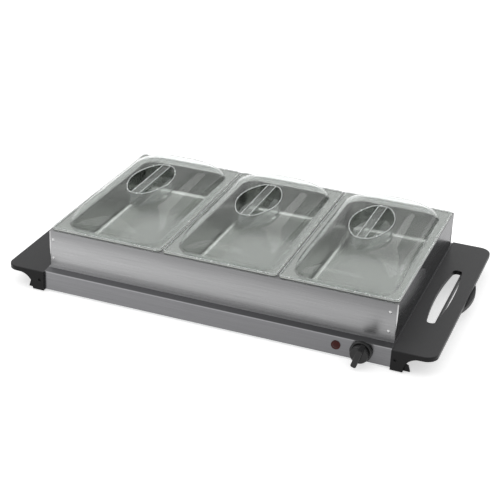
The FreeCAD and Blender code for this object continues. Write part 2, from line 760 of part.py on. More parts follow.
def make_mains_side():
    barrel = rod("gland_barrel", gland_diameter, gland_length, gland_offset, rear_face, knob_level, TO_FRONT)
    head = rod("gland_flange", gland_head, gland_head_height, gland_offset, rear_face, knob_level, TO_BACK)
    bore = rod("gland_bore", bush_bore, gland_length + gland_head_height + 2, gland_offset,
               rear_face - gland_length - 1,
               knob_level, TO_BACK)
    part("cord_bush", cut("gland", fuse("gland_solid", [barrel, head]), [bore]))
    rear = rear_face - base_gauge - block_setback
    block = box("block_solid", block_length, block_depth, block_height, gland_offset, rear - block_depth,
                cover_top, centred="x")
    poles = []
    for pole in (-1, 0, 1):
        poles.append(rod("pole%d" % pole, wire_diameter + hole_clearance, 2 * block_depth,
                         gland_offset + pole * block_length / 3.4,
                         rear + block_depth / 2, cover_top + block_height / 2, TO_FRONT))
        poles.append(rod("clamp_hole%d" % pole, wire_diameter + 1, block_height / 2,
                         gland_offset + pole * block_length / 3.4,
                         rear - block_depth / 2, cover_top + block_height * 0.6))
    part("terminal_block", cut("block", block, poles))
    stud_x, stud_y = gland_offset - block_length, rear - block_depth / 2
    tag = box("tag_plate", tab_width, tab_length * 1.5, tab_gauge, stud_x, stud_y, cover_top)
    hole = rod("tag_hole", stud_diameter + hole_clearance, 3 * tab_gauge, stud_x, stud_y,
               cover_top - tab_gauge)
    part("earth_tag", cut("tag", tag, [hole]))
    part("earth_stud", rod("earth_stud_rod", stud_diameter, stud_length, stud_x, stud_y, cover_top))
    nut = hexagon("earth_nut_solid", nut_width, nut_height, stud_x, stud_y, cover_top + tab_gauge)
    bore = rod("earth_nut_bore", stud_diameter + hole_clearance / 2, 3 * nut_height, stud_x, stud_y,
               cover_top)
    part("earth_nut", cut("earth_nut_cut", nut, [bore]))


def make_wires():
    """Leads from the terminal block forward to the thermostat and lamp, and on to the heaters."""
    block_front = rear_face - base_gauge - block_setback - block_depth
    pole = block_length / 3.4
    pole_level = cover_top + block_height / 2
    tab_end = front_face + base_gauge + thermostat_depth + tab_length
    tab_level = knob_level + tab_gauge / 2
    tab_left, tab_right = knob_offset - tab_width * 1.3, knob_offset + tab_width * 1.3
    lamp_end = front_face + lamp_barrel_length
    entry = clamp_under - wire_rise
    step = wire_step
    plain("wire_live", wire([
        (gland_offset + pole, block_front, pole_level),
        (gland_offset + pole, block_front - step, pole_level),
        (gland_offset + pole + 0.7 * step, block_front - 2.4 * step, wire_level),
        (gland_offset + pole + 0.7 * step, tab_end + 6.6 * step, wire_level),
        (tab_right, tab_end + 3.6 * step, tab_level),
        (tab_right, tab_end, tab_level),
    ], wire_diameter))
    heater_entry = pan_spacing + 0.4 * step
    plain("wire_switched", wire([
        (tab_left, tab_end, tab_level),
        (tab_left, tab_end + 1.4 * step, tab_level),
        (tab_left - 2.2 * step, tab_end + 3 * step, entry),
        (heater_entry, tab_end + 4.4 * step, entry),
        (heater_entry, tab_end + 4.4 * step, clamp_under),
    ], wire_diameter))
    plain("wire_neutral", wire([
        (gland_offset, block_front, pole_level),
        (gland_offset, block_front - step, pole_level),
        (gland_offset - 1.4 * step, block_front - 2.2 * step, wire_level),
        (pan_spacing / 2, block_front - 3 * step, wire_level),
        (-pan_spacing / 2, block_front - 2.4 * step, wire_level + 0.1 * step),
        (-pan_spacing, block_front - 4.4 * step, entry),
        (-pan_spacing, block_front - 4.4 * step, clamp_under),
    ], wire_diameter))
    tag_x = gland_offset - block_length
    tag_level = cover_top + tab_gauge + wire_diameter / 2
    plain("wire_earth", wire([
        (gland_offset - pole, block_front, pole_level),
        (gland_offset - pole, block_front - 0.9 * step, pole_level),
        (tag_x + 0.8 * step, block_front - step, tag_level),
        (tag_x, block_front - 0.1 * step, tag_level),
        (tag_x, block_front + 0.5 * step, tag_level),
    ], wire_diameter))
    links = []
    for side in (-1, 1):
        inner, outer = side * heater_width * 0.3, side * (pan_spacing - heater_width * 0.3)
        links.append(wire([
            (inner, pan_spacing / 2, clamp_under),
            (inner, pan_spacing / 2, entry),
            (side * pan_spacing / 2, pan_spacing / 2 + 0.4 * step, entry - 0.2 * step),
            (outer, pan_spacing / 2, entry),
            (outer, pan_spacing / 2, clamp_under),
        ], wire_diameter))
    plain("wire_heater_links", Part.Compound(links))
    lamp = []
    for side in (-1, 1):
        x = lamp_offset + side * 0.2 * step
        end_x = lamp_offset - step + side * 0.5 * step
        lamp.append(wire([
            (x, lamp_end, knob_level),
            (x, lamp_end + 1.2 * step, knob_level),
            (end_x, lamp_end + 4.6 * step, entry),
            (end_x, lamp_end + 4.6 * step, clamp_under),
        ], lamp_wire))
    plain("wire_lamp", Part.Compound(lamp))


def oval_wire(half_width, half_length, end_radius, level):
    """A long oval: two shallow side arcs run tangent into two small end arcs."""
    reach = half_length - end_radius
    side = (half_width ** 2 + reach ** 2 - end_radius ** 2) / (2 * (half_width - end_radius))
    angle = math.atan2(reach, side - half_width)
    join_x = half_width - side + side * math.cos(angle)
    join_y = side * math.sin(angle)
    points = [Vector(join_x, -join_y, level), Vector(half_width, 0, level), Vector(join_x, join_y, level),
              Vector(0, half_length, level), Vector(-join_x, join_y, level), Vector(-half_width, 0, level),
              Vector(-join_x, -join_y, level), Vector(0, -half_length, level), Vector(join_x, -join_y, level)]
    return Part.Wire([Part.Arc(*points[n:n + 3]).toShape() for n in (0, 2, 4, 6)])


def hand_hole(half_width, half_length, end_radius, low, height):
    return Part.Face(oval_wire(half_width, half_length, end_radius, low)).extrude(Vector(0, 0, height))


def make_handle(name):
    """The handle's hollow slab, about its own inner edge."""
    handle = body(name)
    slab = sketch_on(handle, "XY_Plane", name + "_outline", handle_under)
    rounded_rectangle(slab, handle_reach * 2, handle_depth, handle_corner)
    pad(handle, slab, handle_thickness, name + "_slab")
    round_edges(handle, name + "_rim", handle_edge, lambda edge: level_at(edge, base_height))
    hollow = sketch_on(handle, "XY_Plane", name + "_hollow_outline", handle_under)
    rounded_rectangle(hollow, 2 * (handle_reach - handle_wall), handle_depth - 2 * handle_wall,
                      handle_corner - handle_wall)
    pocket(handle, hollow, handle_thickness - handle_wall, name + "_hollow", up=True)
    doc.recompute()
    return handle


def finger_tab_shape(reach, wall, under):
    """A curved tab for the fingers under the slab's outer edge, on a root that joins it to the outer wall."""
    half, height = float(finger_tab_length) / 2, float(finger_tab_height)
    start_x, inner_x = reach - 4 * wall, reach - wall
    tab_top = under - float(finger_tab_drop)
    low = tab_top - height
    corners = [Vector(start_x, -half, low), Vector(inner_x, -half, low), Vector(inner_x, half, low),
               Vector(start_x, half, low)]
    edges = [Part.LineSegment(corners[0], corners[1]).toShape(),
             Part.Arc(corners[1], Vector(reach + float(finger_tab_bulge), 0, low), corners[2]).toShape(),
             Part.LineSegment(corners[2], corners[3]).toShape(),
             Part.LineSegment(corners[3], corners[0]).toShape()]
    tab = Part.Face(Part.Wire(edges)).extrude(Vector(0, 0, height))
    tab = tab.makeFillet(height * 0.4, [edge for edge in tab.Edges if level_at(edge, low)])
    root = Part.makeBox(2 * wall, 2 * half - 2 * wall, 2 * wall,
                        Vector(reach - 2.5 * wall, wall - half, tab_top - wall / 2))
    tab = tab.fuse(root)
    tab.translate(Vector(0, float(finger_tab_offset), 0))
    return tab


def handle_shape():
    """The right-hand handle with its inner edge on x = 0: slab, back flange, legs, finger bar and tab."""
    reach, depth, wall = float(handle_reach), float(handle_depth), float(handle_wall)
    top, under, foot = float(base_height), float(handle_under), float(leg_foot)
    thickness, flange = float(handle_thickness), float(handle_back)
    inner = Part.makeBox(reach, depth, thickness * 3, Vector(0, -depth / 2, under - thickness))
    shell = make_handle("handle_stock").Shape.common(inner)
    back = Part.makeBox(wall, depth, flange - wall / 2, Vector(0, -depth / 2, top - flange))
    hole_x, hole_half = float(hand_hole_offset), float(hand_hole_width) / 2
    hole_length, hole_end = float(hand_hole_length) / 2, float(hand_hole_end)
    collar = hand_hole(hole_half + wall, hole_length + wall, hole_end + wall, under, top - under - wall / 2)
    collar.translate(Vector(hole_x, 0, 0))
    pieces = [back, collar]
    bar_x, bar_top = hole_x + hole_half - float(finger_bar_lap), top - float(finger_bar_step)
    bar_height = float(finger_bar_height)
    bar = Part.makeBox(wall, 2 * hole_length, bar_height, Vector(bar_x, -hole_length, bar_top - bar_height))
    tab = finger_tab_shape(reach, wall, under)
    for along in (-1, 0, 1):
        across = Part.makeBox(hole_x - hole_half - wall / 2, wall, top - under, Vector(0, -wall / 2, under))
        length, radius = float(handle_screw_length), float(handle_boss) / 2
        post = Part.makeCylinder(radius, length, Vector(0, 0, float(screw_level)), Vector(1, 0, 0))
        for piece in (across, post):
            piece.translate(Vector(0, along * float(handle_screw_spacing), 0))
            pieces.append(piece)
    leg, arch, deep = float(leg_width), float(leg_arch), float(leg_depth)
    lap_up = wall * 1.4
    for end in (-1, 1):
        y = -depth / 2 if end < 0 else depth / 2 - deep
        bend = arch * (1 - math.sqrt(0.5))
        outline = [Part.LineSegment(Vector(0, y, foot), Vector(leg, y, foot)).toShape(),
                   Part.LineSegment(Vector(leg, y, foot), Vector(leg, y, under - arch)).toShape(),
                   Part.Arc(Vector(leg, y, under - arch), Vector(leg + bend, y, under - bend),
                            Vector(leg + arch, y, under)).toShape(),
                   Part.LineSegment(Vector(leg + arch, y, under),
                                    Vector(leg + arch, y, under + lap_up)).toShape(),
                   Part.LineSegment(Vector(leg + arch, y, under + lap_up),
                                    Vector(0, y, under + lap_up)).toShape(),
                   Part.LineSegment(Vector(0, y, under + lap_up), Vector(0, y, foot)).toShape()]
        pieces.append(Part.Face(Part.Wire(outline)).extrude(Vector(0, deep, 0)))
        toe = float(gusset_foot)
        inset = float(gusset_inset)
        y = inset - depth / 2 if end < 0 else depth / 2 - inset - wall
        rib = [Vector(leg - 1, y, foot), Vector(leg + toe, y, foot), Vector(leg + toe * 0.7, y, foot + toe),
               Vector(leg - 1, y, foot + toe * 1.3), Vector(leg - 1, y, foot)]
        pieces.append(Part.Face(Part.makePolygon(rib)).extrude(Vector(0, wall, 0)))
    shell = shell.fuse(pieces)
    cuts = [hand_hole(hole_half, hole_length, hole_end, under - 1, top - under + 2)]
    cuts[0].translate(Vector(hole_x, 0, 0))
    for along in (-1, 0, 1):
        hole = float(handle_screw) / 2 + float(shaft_clearance)
        cuts.append(Part.makeCylinder(hole, float(handle_screw_length) - wall,
                                      Vector(-1, along * float(handle_screw_spacing), float(screw_level)),
                                      Vector(1, 0, 0)))
    for end in (-1, 1):
        middle = Vector(leg / 2, end * (depth / 2 - deep / 2), foot - 1)
        cuts.append(Part.makeCylinder(float(foot_plug) / 2 + float(shaft_clearance),
                                      float(foot_plug_length) + 1, middle))
        dimple = Vector(leg * 0.35, end * depth / 2, (under + foot) / 2 + float(screw_dimple))
        cuts.append(Part.makeCylinder(float(screw_dimple) / 2, float(dimple_depth), dimple,
                                      Vector(0, -end, 0)))
    return shell.cut(cuts).fuse([bar, tab]).removeSplitter()


def make_handles():
    shape = handle_shape()
    for node, side, turn in (("left_handle", -1, 180), ("right_handle", 1, 0)):
        feature = doc.addObject("Part::Feature", node + "_shape")
        feature.Shape = shape
        feature.Placement = Placement(Vector(), Rotation(Vector(0, 0, 1), turn))
        part(node, feature, side * end_face)
    screws, feet = [], []
    for number, (side, along) in enumerate(screw_rows):
        inner = side * (end_face - base_gauge)
        turn = TO_RIGHT if side > 0 else TO_LEFT
        reach = handle_screw_length * 0.7 + base_gauge
        shank = rod("handle_shank%d" % number, handle_screw, reach, inner, along, screw_level, turn)
        head = rod("handle_head%d" % number, handle_screw * 2, handle_screw * 0.6,
                   inner - side * handle_screw * 0.6,
                   along, screw_level, turn)
        screws.append(fuse("handle_screw%d" % number, [shank, head]))
    part("handle_screws", group("handle_screw_set", screws))
    for side in (-1, 1):
        for end in (-1, 1):
            x = side * (end_face + leg_width / 2)
            y = end * (handle_depth / 2 - leg_depth / 2)
            disc = rod("foot_disc%d%d" % (side, end), foot_diameter, foot_stand, x, y, 0)
            plug = rod("foot_plug%d%d" % (side, end), foot_plug, foot_plug_length - 0.5, x, y, 0)
            feet.append(fuse("foot%d%d" % (side, end), [disc, plug]))
    part("foot_pads", group("feet", feet))


def rivet_places():
    places = []
    for end in (-1, 1):
        for inset, side in ((rivet_inset_left, -1), (rivet_inset_right, 1)):
            for up in (rivet_low, rivet_high):
                places.append((end, side * (frame_length / 2 - inset), deck_level + up))
    return places


def make_frame():
    half_length, half_depth = frame_length / 2, frame_depth / 2
    wall = frame_height - frame_gauge
    for node, end in (("frame_front", -1), ("frame_rear", 1)):
        outer = end * half_depth
        flat = box(node + "_wall", frame_length, frame_gauge, frame_height, 0,
                   outer - end * frame_gauge / 2, deck_level)
        flange = box(node + "_flange", frame_length, top_flange, frame_gauge, 0, outer - end * top_flange / 2,
                     frame_top - frame_gauge)
        foot = box(node + "_foot", frame_length - 2 * frame_gauge, foot_lip + frame_gauge, frame_gauge, 0,
                   outer + end * (foot_lip - frame_gauge) / 2, deck_level)
        holes = []
        for number, (place_end, x, z) in enumerate(rivet_places()):
            if place_end == end:
                turn = TO_FRONT if end < 0 else TO_BACK
                holes.append(rod("%s_hole%d" % (node, number), rivet_shank, 4 * frame_gauge, x,
                                 outer - end * 2 * frame_gauge, z, turn))
        part(node, cut(node + "_cut", fuse(node + "_solid", [flat, flange, foot]), holes))
    for node, side in (("frame_left", -1), ("frame_right", 1)):
        outer = side * half_length
        inner_depth = frame_depth - 2 * frame_gauge
        flat = box(node + "_wall", frame_gauge, inner_depth, wall, outer - side * frame_gauge / 2, 0,
                   deck_level)
        flange = box(node + "_flange", top_flange, frame_depth - 2 * top_flange, frame_gauge,
                     outer - side * top_flange / 2,
                     0, frame_top - frame_gauge)
        foot = box(node + "_foot", foot_flange, frame_depth - 2 * foot_flange, frame_gauge,
                   outer - side * foot_flange / 2,
                   0, deck_level)
        riser = box(node + "_riser", frame_gauge, frame_depth - 2 * top_flange, frame_height,
                    outer - side * frame_gauge / 2,
                    0, deck_level)
        tabs = []
        for end in (-1, 1):
            tabs.append(box("%s_tab%d" % (node, end), corner_tab, frame_gauge, wall - frame_gauge,
                            outer - side * corner_tab / 2, end * (half_depth - frame_gauge * 1.5),
                            deck_level + frame_gauge))
        holes = []
        for number, (end, x, z) in enumerate(rivet_places()):
            if float(x) * side > 0:
                turn = TO_FRONT if end < 0 else TO_BACK
                holes.append(rod("%s_hole%d" % (node, number), rivet_shank, 4 * frame_gauge, x,
                                 end * (half_depth - 3 * frame_gauge), z, turn))
        part(node, cut(node + "_cut", fuse(node + "_solid", [flat, flange, foot, riser] + tabs), holes))
    rivets = []
    for number, (end, x, z) in enumerate(rivet_places()):
        turn = TO_FRONT if end < 0 else TO_BACK
        face = end * half_depth
        shank = rod("rivet_shank%d" % number, rivet_shank, 2 * frame_gauge, x,
                    face - end * 2 * frame_gauge, z, turn)
        head = doc.addObject("Part::Cone", "rivet_head%d" % number)
        bind(head, Radius1=rivet_head / 2, Radius2=rivet_head / 4, Height=rivet_head_height)
        head.Placement = Placement(Vector(), turn)
        put(head, x, face, z)
        tail_height = rivet_head_height * 0.7
        tail = rod("rivet_tail%d" % number, rivet_head * 0.8, tail_height, x,
                   face - end * (2 * frame_gauge + tail_height), z, turn)
        rivets.append(fuse("rivet%d" % number, [shank, head, tail]))
    part("frame_rivets", group("rivet_set", rivets))
    for node, side in (("cross_bar_left", -1), ("cross_bar_right", 1)):
        x = side * pan_spacing / 2
        span = frame_depth - 2 * top_flange
        top = box(node + "_top", cross_bar_width, span, frame_gauge, x, 0, frame_top - frame_gauge)
        under = box(node + "_tongue", cross_bar_width, frame_depth - 2 * frame_gauge, frame_gauge, x, 0,
                    frame_top - 2 * frame_gauge)
        sides = []
        for edge in (-1, 1):
            sides.append(box("%s_side%d" % (node, edge), frame_gauge, span, cross_bar_height,
                             x + edge * (cross_bar_width - frame_gauge) / 2, 0, frame_top - cross_bar_height))
        part(node, fuse(node + "_solid", [top, under] + sides))


def well_form(name, inset, top, plate_height, throat):
    """A tapered well with a rounded floor under a plate, joined by a rounded throat."""
    form = body(name)
    length = pan_length - 2 * pan_rim_width - 2 * inset
    depth = pan_depth - 2 * pan_rim_width - 2 * inset
    mouth = sketch_on(form, "XY_Plane", name + "_mouth", top)
    rounded_rectangle(mouth, length, depth, pan_mouth_corner - inset)
    well = pad(form, mouth, pan_well - pan_gauge, name + "_well", down=True)
    bind(well, TaperAngle=-pan_draft_angle)
    round_edges(form, name + "_floor", pan_floor_fillet - inset,
                lambda edge: level_at(edge, top - pan_well + pan_gauge))
    plate = sketch_on(form, "XY_Plane", name + "_plate_outline", top)
    rounded_rectangle(plate, pan_length, pan_depth, pan_rim_corner)
    pad(form, plate, plate_height, name + "_plate")
    round_edges(form, name + "_throat", throat,
                lambda edge: level_at(edge, top) and inside(edge, length + 1, depth + 1))
    return form


def make_pan(label, place):
    """A drawn steel pan: tapered well, flat rim and a turned-down hem that stands on the frame."""
    outer = well_form("pan_%s_outer" % label, 0, rim_level - pan_gauge, pan_gauge, pan_throat - pan_gauge)
    hem = sketch_on(outer, "XY_Plane", "pan_%s_hem" % label, rim_level)
    rounded_rectangle(hem, pan_length, pan_depth, pan_rim_corner)
    rounded_rectangle(hem, pan_length - 2 * pan_gauge, pan_depth - 2 * pan_gauge, pan_rim_corner - pan_gauge)
    pad(outer, hem, pan_rim_height, "pan_%s_edge" % label, down=True)
    round_edges(outer, "pan_%s_edge_round" % label, pan_edge_radius,
                lambda edge: level_at(edge, rim_level) and not inside(edge, pan_length - 1, pan_depth - 1))
    inner = well_form("pan_%s_inner" % label, pan_gauge, rim_level, 2 * pan_rim_height, pan_throat)
    part("pan_" + label, cut("pan_%s_cut" % label, outer, [inner]), place)


def rounded_wire(half_length, half_depth, radius, z):
    """A rounded rectangle as eight edges, so that lofts pair them one to one."""
    x, y, r = half_length, half_depth, radius
    k = r * (1 - math.sqrt(0.5))
    edges = []
    corners = (((x - r, -y), (x - k, -y + k), (x, -y + r)), ((x, y - r), (x - k, y - k), (x - r, y)),
               ((-x + r, y), (-x + k, y - k), (-x, y - r)), ((-x, -y + r), (-x + k, -y + k), (-x + r, -y)))
    for number, (start, middle, end) in enumerate(corners):
        edges.append(Part.Arc(Vector(*start, z), Vector(*middle, z), Vector(*end, z)).toShape())
        following = corners[(number + 1) % 4][0]
        edges.append(Part.LineSegment(Vector(*end, z), Vector(*following, z)).toShape())
    return Part.Wire(edges)


def dome(offset, steps=8):
    """The lid's crown as a loft: steep at the foot and rounding over to a flat oval at the top."""
    foot_x = float(pan_length) / 2 - float(lid_mouth_inset) - offset
    foot_y = float(pan_depth) / 2 - float(lid_mouth_inset) - offset
    crown_x = float(grip_width) / 2 + float(grip_rim)
    crown_y = float(grip_length) / 2 + float(grip_rim)
    base, height = float(lid_foot), float(lid_height) - offset
    foot_radius = float(pan_mouth_corner) + 1 - offset
    sections = []
    for step in range(steps):
        share = math.sin(math.pi / 2 * step / (steps - 1))
        side_shrink = 1 - (1 - share ** 2.1) ** 0.55
        end_shrink = 1 - (1 - share ** 2.3) ** 0.52
        x = foot_x + (crown_x - foot_x) * side_shrink
        y = foot_y + (crown_y - foot_y) * end_shrink
        radius = foot_radius + float(lid_shoulder_radius) * share
        sections.append(rounded_wire(x, y, min(radius, x - 5), base + height * share))
    return Part.makeLoft(sections, True, False)


def lid_shape():
    gauge, base, height = float(lid_gauge), float(lid_foot), float(lid_height)
    half_x, half_y = float(pan_length) / 2 - float(lid_inset), float(pan_depth) / 2 - float(lid_inset)
    flange = Part.Face(rounded_wire(half_x, half_y, float(pan_rim_corner), base)).extrude(Vector(0, 0, gauge))
    outer = flange.fuse(dome(0))
    grip_x, grip_y, end = float(grip_width) / 2, float(grip_length) / 2, float(grip_end)
    top, floor = base + height, base + height - float(grip_well)

    def cup(extra, low, high):
        wire_low = oval_wire(grip_x - 3 + extra, grip_y - 3 + extra, end - 3 + extra, low)
        wire_high = oval_wire(grip_x + extra, grip_y + extra, end + extra, high)
        return Part.makeLoft([wire_low, wire_high], True, True)

    hollow = dome(gauge)
    skin = outer.cut(hollow)
    well_outer = cup(gauge, floor - gauge, top)
    well_inner = cup(0, floor, top + 1)
    skin = skin.fuse(well_outer.common(outer)).cut(well_inner)
    fin_half = float(fin_width) / 2
    half_run = grip_y - 0.5
    block = Part.makeBox(2 * fin_half, 2 * half_run, top - floor + gauge,
                         Vector(-fin_half, -half_run, floor - gauge))
    inner_half = fin_half - float(fin_wall)
    core = Part.makeBox(2 * inner_half, 2 * half_run, top - floor,
                        Vector(-inner_half, -half_run, floor - gauge - 1))
    ends = cup(gauge * 0.5, floor - gauge, top)
    fin = block.common(ends).cut(core.common(cup(-float(fin_wall), floor - gauge - 1, top)))
    lid = skin.cut(core.common(cup(-float(fin_wall), floor - gauge - 1, top))).fuse(fin)
    return lid.removeSplitter()


def make_lids():
    shape = lid_shape()
    for label, place in pan_places:
        feature = doc.addObject("Part::Feature", "lid_%s_shape" % label)
        feature.Shape = shape
        part("lid_" + label, feature, place)


doc.recompute()
make_base_shell()
make_bottom_cover()
for pan_label, pan_place in pan_places:
    make_heater(pan_label, pan_place)
make_studs()
make_blanket()
make_thermal_fuse()
make_thermostat()
make_shaft()
make_knob()
make_lamp()
make_mains_side()
make_wires()
make_handles()
make_frame()
for pan_label, pan_place in pan_places:
    make_pan(pan_label, pan_place)
make_lids()
doc.recompute()

for item in doc.Objects:
    if "Invalid" in item.State or "Error" in item.State:
        raise RuntimeError("%s did not compute: %s" % (item.Label, item.State))
os.makedirs("parts", exist_ok=True)
for item in finished:
    if item.Shape.isNull() or not item.Shape.isValid():
        raise RuntimeError("%s has no valid shape" % item.Label)
    item.Shape.exportStep("parts/%s.step" % item.Label)
    print("%-24s %2d solids %10.0f mm3" % (item.Label, len(item.Shape.Solids), item.Shape.Volume))
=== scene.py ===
# %% [markdown]
# # A three-pan buffet warmer, dressed for a studio photograph
#
# The metal and plastic parts already exist as CAD solids, in metres, standing where they belong.
# This notebook gives each of them its real finish, adds the few details that are too fine for CAD,
# and sets up a white product-photography studio around them. Nothing here moves or resizes a part.

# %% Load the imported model
import math

import bmesh
import bpy
from mathutils import Matrix, Vector


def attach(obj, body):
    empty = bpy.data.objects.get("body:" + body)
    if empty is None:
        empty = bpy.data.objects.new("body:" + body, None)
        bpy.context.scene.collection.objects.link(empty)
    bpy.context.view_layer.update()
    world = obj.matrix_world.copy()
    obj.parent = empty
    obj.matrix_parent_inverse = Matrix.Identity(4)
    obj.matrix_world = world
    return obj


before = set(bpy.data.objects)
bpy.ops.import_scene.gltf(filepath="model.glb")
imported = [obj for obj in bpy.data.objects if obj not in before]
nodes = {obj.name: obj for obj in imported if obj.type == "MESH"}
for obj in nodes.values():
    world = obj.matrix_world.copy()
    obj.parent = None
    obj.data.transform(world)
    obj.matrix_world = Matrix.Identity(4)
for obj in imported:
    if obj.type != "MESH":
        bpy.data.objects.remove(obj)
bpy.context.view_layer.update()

# %% [markdown]
# ## Colours
#
# Colours are written as sRGB hex, the way a paint chart or a picture editor shows them. Blender's shaders
# want linear light, so one function converts them, and a second one makes a darker or lighter tone.

# %% Colours
def colour(hex_code):
    """sRGB hex to linear RGBA."""
    channels = [int(hex_code[place:place + 2], 16) / 255 for place in (1, 3, 5)]
    linear = [c / 12.92 if c <= 0.04045 else ((c + 0.055) / 1.055) ** 2.4 for c in channels]
    return (*linear, 1.0)


def shaded(tone, share):
    """The same linear colour with a share of its light."""
    return tuple(channel * share for channel in tone[:3]) + (1.0,)


print("mid grey in linear light:", round(colour("#808080")[0], 3))

# %% [markdown]
# ## Nodes
#
# A material is a small network: patterns come first, and one Principled shader ends it. One function adds
# any node with its settings and inputs. An input that is itself a node is linked from its main output: the
# colour of a Mix node, the object's own coordinates of a Texture Coordinate node, or else the first one.

# %% Adding nodes
MAIN_OUTPUT = {"ShaderNodeMix": 2, "ShaderNodeTexCoord": 3}


def add(tree, kind, inputs=None, **settings):
    """Add one node. inputs maps a socket's name or number to a value, a node or a node's output."""
    made = tree.nodes.new(kind)
    for name, value in settings.items():
        setattr(made, name, value)
    for key, value in (inputs or {}).items():
        if isinstance(value, bpy.types.Node):
            value = value.outputs[MAIN_OUTPUT.get(value.bl_idname, 0)]
        if isinstance(value, bpy.types.NodeSocket):
            tree.links.new(value, made.inputs[key])
        else:
            made.inputs[key].default_value = value
    return made


def new_material(name):
    """A material with no nodes yet, and its tree."""
    made = bpy.data.materials.new(name)
    made.use_nodes = True
    made.node_tree.nodes.clear()
    return made, made.node_tree


def finish_with(tree, **inputs):
    """End a material in one Principled shader. A value that is the same all over sits on its own socket."""
    by_socket = {key.replace("_", " "): value for key, value in inputs.items()}
    shader = add(tree, "ShaderNodeBsdfPrincipled", by_socket)
    add(tree, "ShaderNodeOutputMaterial", {"Surface": shader})


print("nodes that link from another output than their first:", sorted(MAIN_OUTPUT))

# %% [markdown]
# ## Patterns with a real size
#
# Scratches, ripples and moulded grain all start as noise in the object's own coordinates. The noise is
# stretched until its blobs have a real size in millimetres, so a pattern never depends on the piece it is
# on. Two more patterns build on it: a colour that wanders between two, and a tone that changes along an axis.

# %% Patterns
MM = 0.001
NOISE_SPAN = {"From Min": 0.3, "From Max": 0.7}


def stretched_noise(tree, cell_mm, detail=2.0, roughness=0.5):
    """Noise whose blobs measure cell_mm along x, y and z. Nearly all its values lie within NOISE_SPAN."""
    per_metre = tuple(1 / (size * MM) for size in cell_mm)
    scaled = add(tree, "ShaderNodeMapping", {"Vector": add(tree, "ShaderNodeTexCoord"), "Scale": per_metre})
    return add(tree, "ShaderNodeTexNoise", {"Vector": scaled, "Scale": 1.0, "Detail": detail,
                                            "Roughness": roughness})


def mottled(tree, pattern, first, second):
    """A colour that wanders between two as the pattern does. A Mix node takes them on sockets 6 and 7."""
    share = add(tree, "ShaderNodeMapRange", {"Value": pattern, **NOISE_SPAN})
    return add(tree, "ShaderNodeMix", {0: share, 6: first, 7: second}, data_type="RGBA")


def tone_along(tree, axis, low_mm, high_mm, stops, interpolation="LINEAR"):
    """A tone that runs through stops of (share of the way, sRGB hex) between two places on an axis."""
    place = add(tree, "ShaderNodeSeparateXYZ", {"Vector": add(tree, "ShaderNodeTexCoord")})
    share = add(tree, "ShaderNodeMapRange", {"Value": place.outputs[axis], "From Min": low_mm * MM,
                                             "From Max": high_mm * MM})
    tone = add(tree, "ShaderNodeValToRGB", {"Fac": share})
    band = tone.color_ramp
    band.interpolation = interpolation
    while len(band.elements) < len(stops):
        band.elements.new(1.0)
    for element, (position, hex_code) in zip(band.elements, stops):
        element.position = position
        element.color = colour(hex_code)
    return tone


print("noise is read between", NOISE_SPAN["From Min"], "and", NOISE_SPAN["From Max"])

# %% [markdown]
# ## Measuring the CAD parts
#
# The finishes and the small pieces below follow the parts that they belong to, so their places are measured
# on the CAD meshes. The appliance's middle isn't at y = 0, because the knob stands out at the front and the
# frame's origin is under the middle of everything.

# %% Measure the frame and its middle
def span_mm(name, axis):
    """Where a CAD part starts and ends along axis 0, 1 or 2, in millimetres."""
    part = nodes[name]
    places = [(part.matrix_world @ vertex.co)[axis] / MM for vertex in part.data.vertices]
    return min(places), max(places)


frame_left_end, frame_right_end = span_mm("frame_front", 0)
frame_foot, frame_top = span_mm("frame_front", 2)
middle_y = sum(span_mm("pan_middle", 1)) / 2
print("frame in x", round(frame_left_end, 2), round(frame_right_end, 2), "in z", round(frame_foot, 2),
      round(frame_top, 2), "with its middle at y", round(middle_y, 2))

# %% [markdown]
# ## The camera
#
# The photograph's camera was worked out from the edges of the base, the frame, the pans and the handles.
# It stands 1.9 m away with a long lens, nearly 20 degrees to the right of the front, looks down at
# 26 degrees, and is rolled by nearly 3 degrees.

# %% Camera
CAMERA_MM = (568.686, -1603.789, 885.103)
AZIMUTH, ELEVATION, ROLL = 19.71, 26.28, 2.69
LENS_MM, SENSOR_MM = 95.271, 36

turn, rise, roll = (math.radians(angle) for angle in (AZIMUTH, ELEVATION, ROLL))
back = Vector((math.sin(turn) * math.cos(rise), -math.cos(turn) * math.cos(rise), math.sin(rise)))
right = Vector((0, 0, 1)).cross(back).normalized()
up = back.cross(right)
rolled_right = right * math.cos(roll) + up * math.sin(roll)
rolled_up = up * math.cos(roll) - right * math.sin(roll)

camera_data = bpy.data.cameras.new("camera")
camera_data.sensor_width = SENSOR_MM
camera_data.lens = LENS_MM
camera = bpy.data.objects.new("camera", camera_data)
bpy.context.scene.collection.objects.link(camera)
facing = Matrix((rolled_right, rolled_up, back)).transposed().to_4x4()
camera.matrix_world = Matrix.Translation(Vector(CAMERA_MM) * MM) @ facing
bpy.context.scene.camera = camera
print("camera at", tuple(round(place, 3) for place in camera.location))

# %% [markdown]
# ## The studio floor
#
# A product on white stands on a sheet of paper that is lit until it is white in the picture. Here the paper
# glows instead, but only for the rays that look at it, straight, in a mirror or through glass. So it shows
# in the steel, but it lights the object no more than plain paper would, and it keeps the object's shadow.

# %% Floor
FLOOR_HALF = 6.0
FLOOR_GAP = 0.5 * MM
FLOOR_LIFT = 0.56


def seen_directly(tree):
    """1 for rays that come from the camera, a reflection or glass, 0 for rays that carry light."""
    path = add(tree, "ShaderNodeLightPath")
    either = {0: path.outputs["Is Camera Ray"], 1: path.outputs["Is Glossy Ray"]}
    straight = add(tree, "ShaderNodeMath", either, operation="MAXIMUM")
    any_of_three = {0: straight, 1: path.outputs["Is Transmission Ray"]}
    return add(tree, "ShaderNodeMath", any_of_three, operation="MAXIMUM")


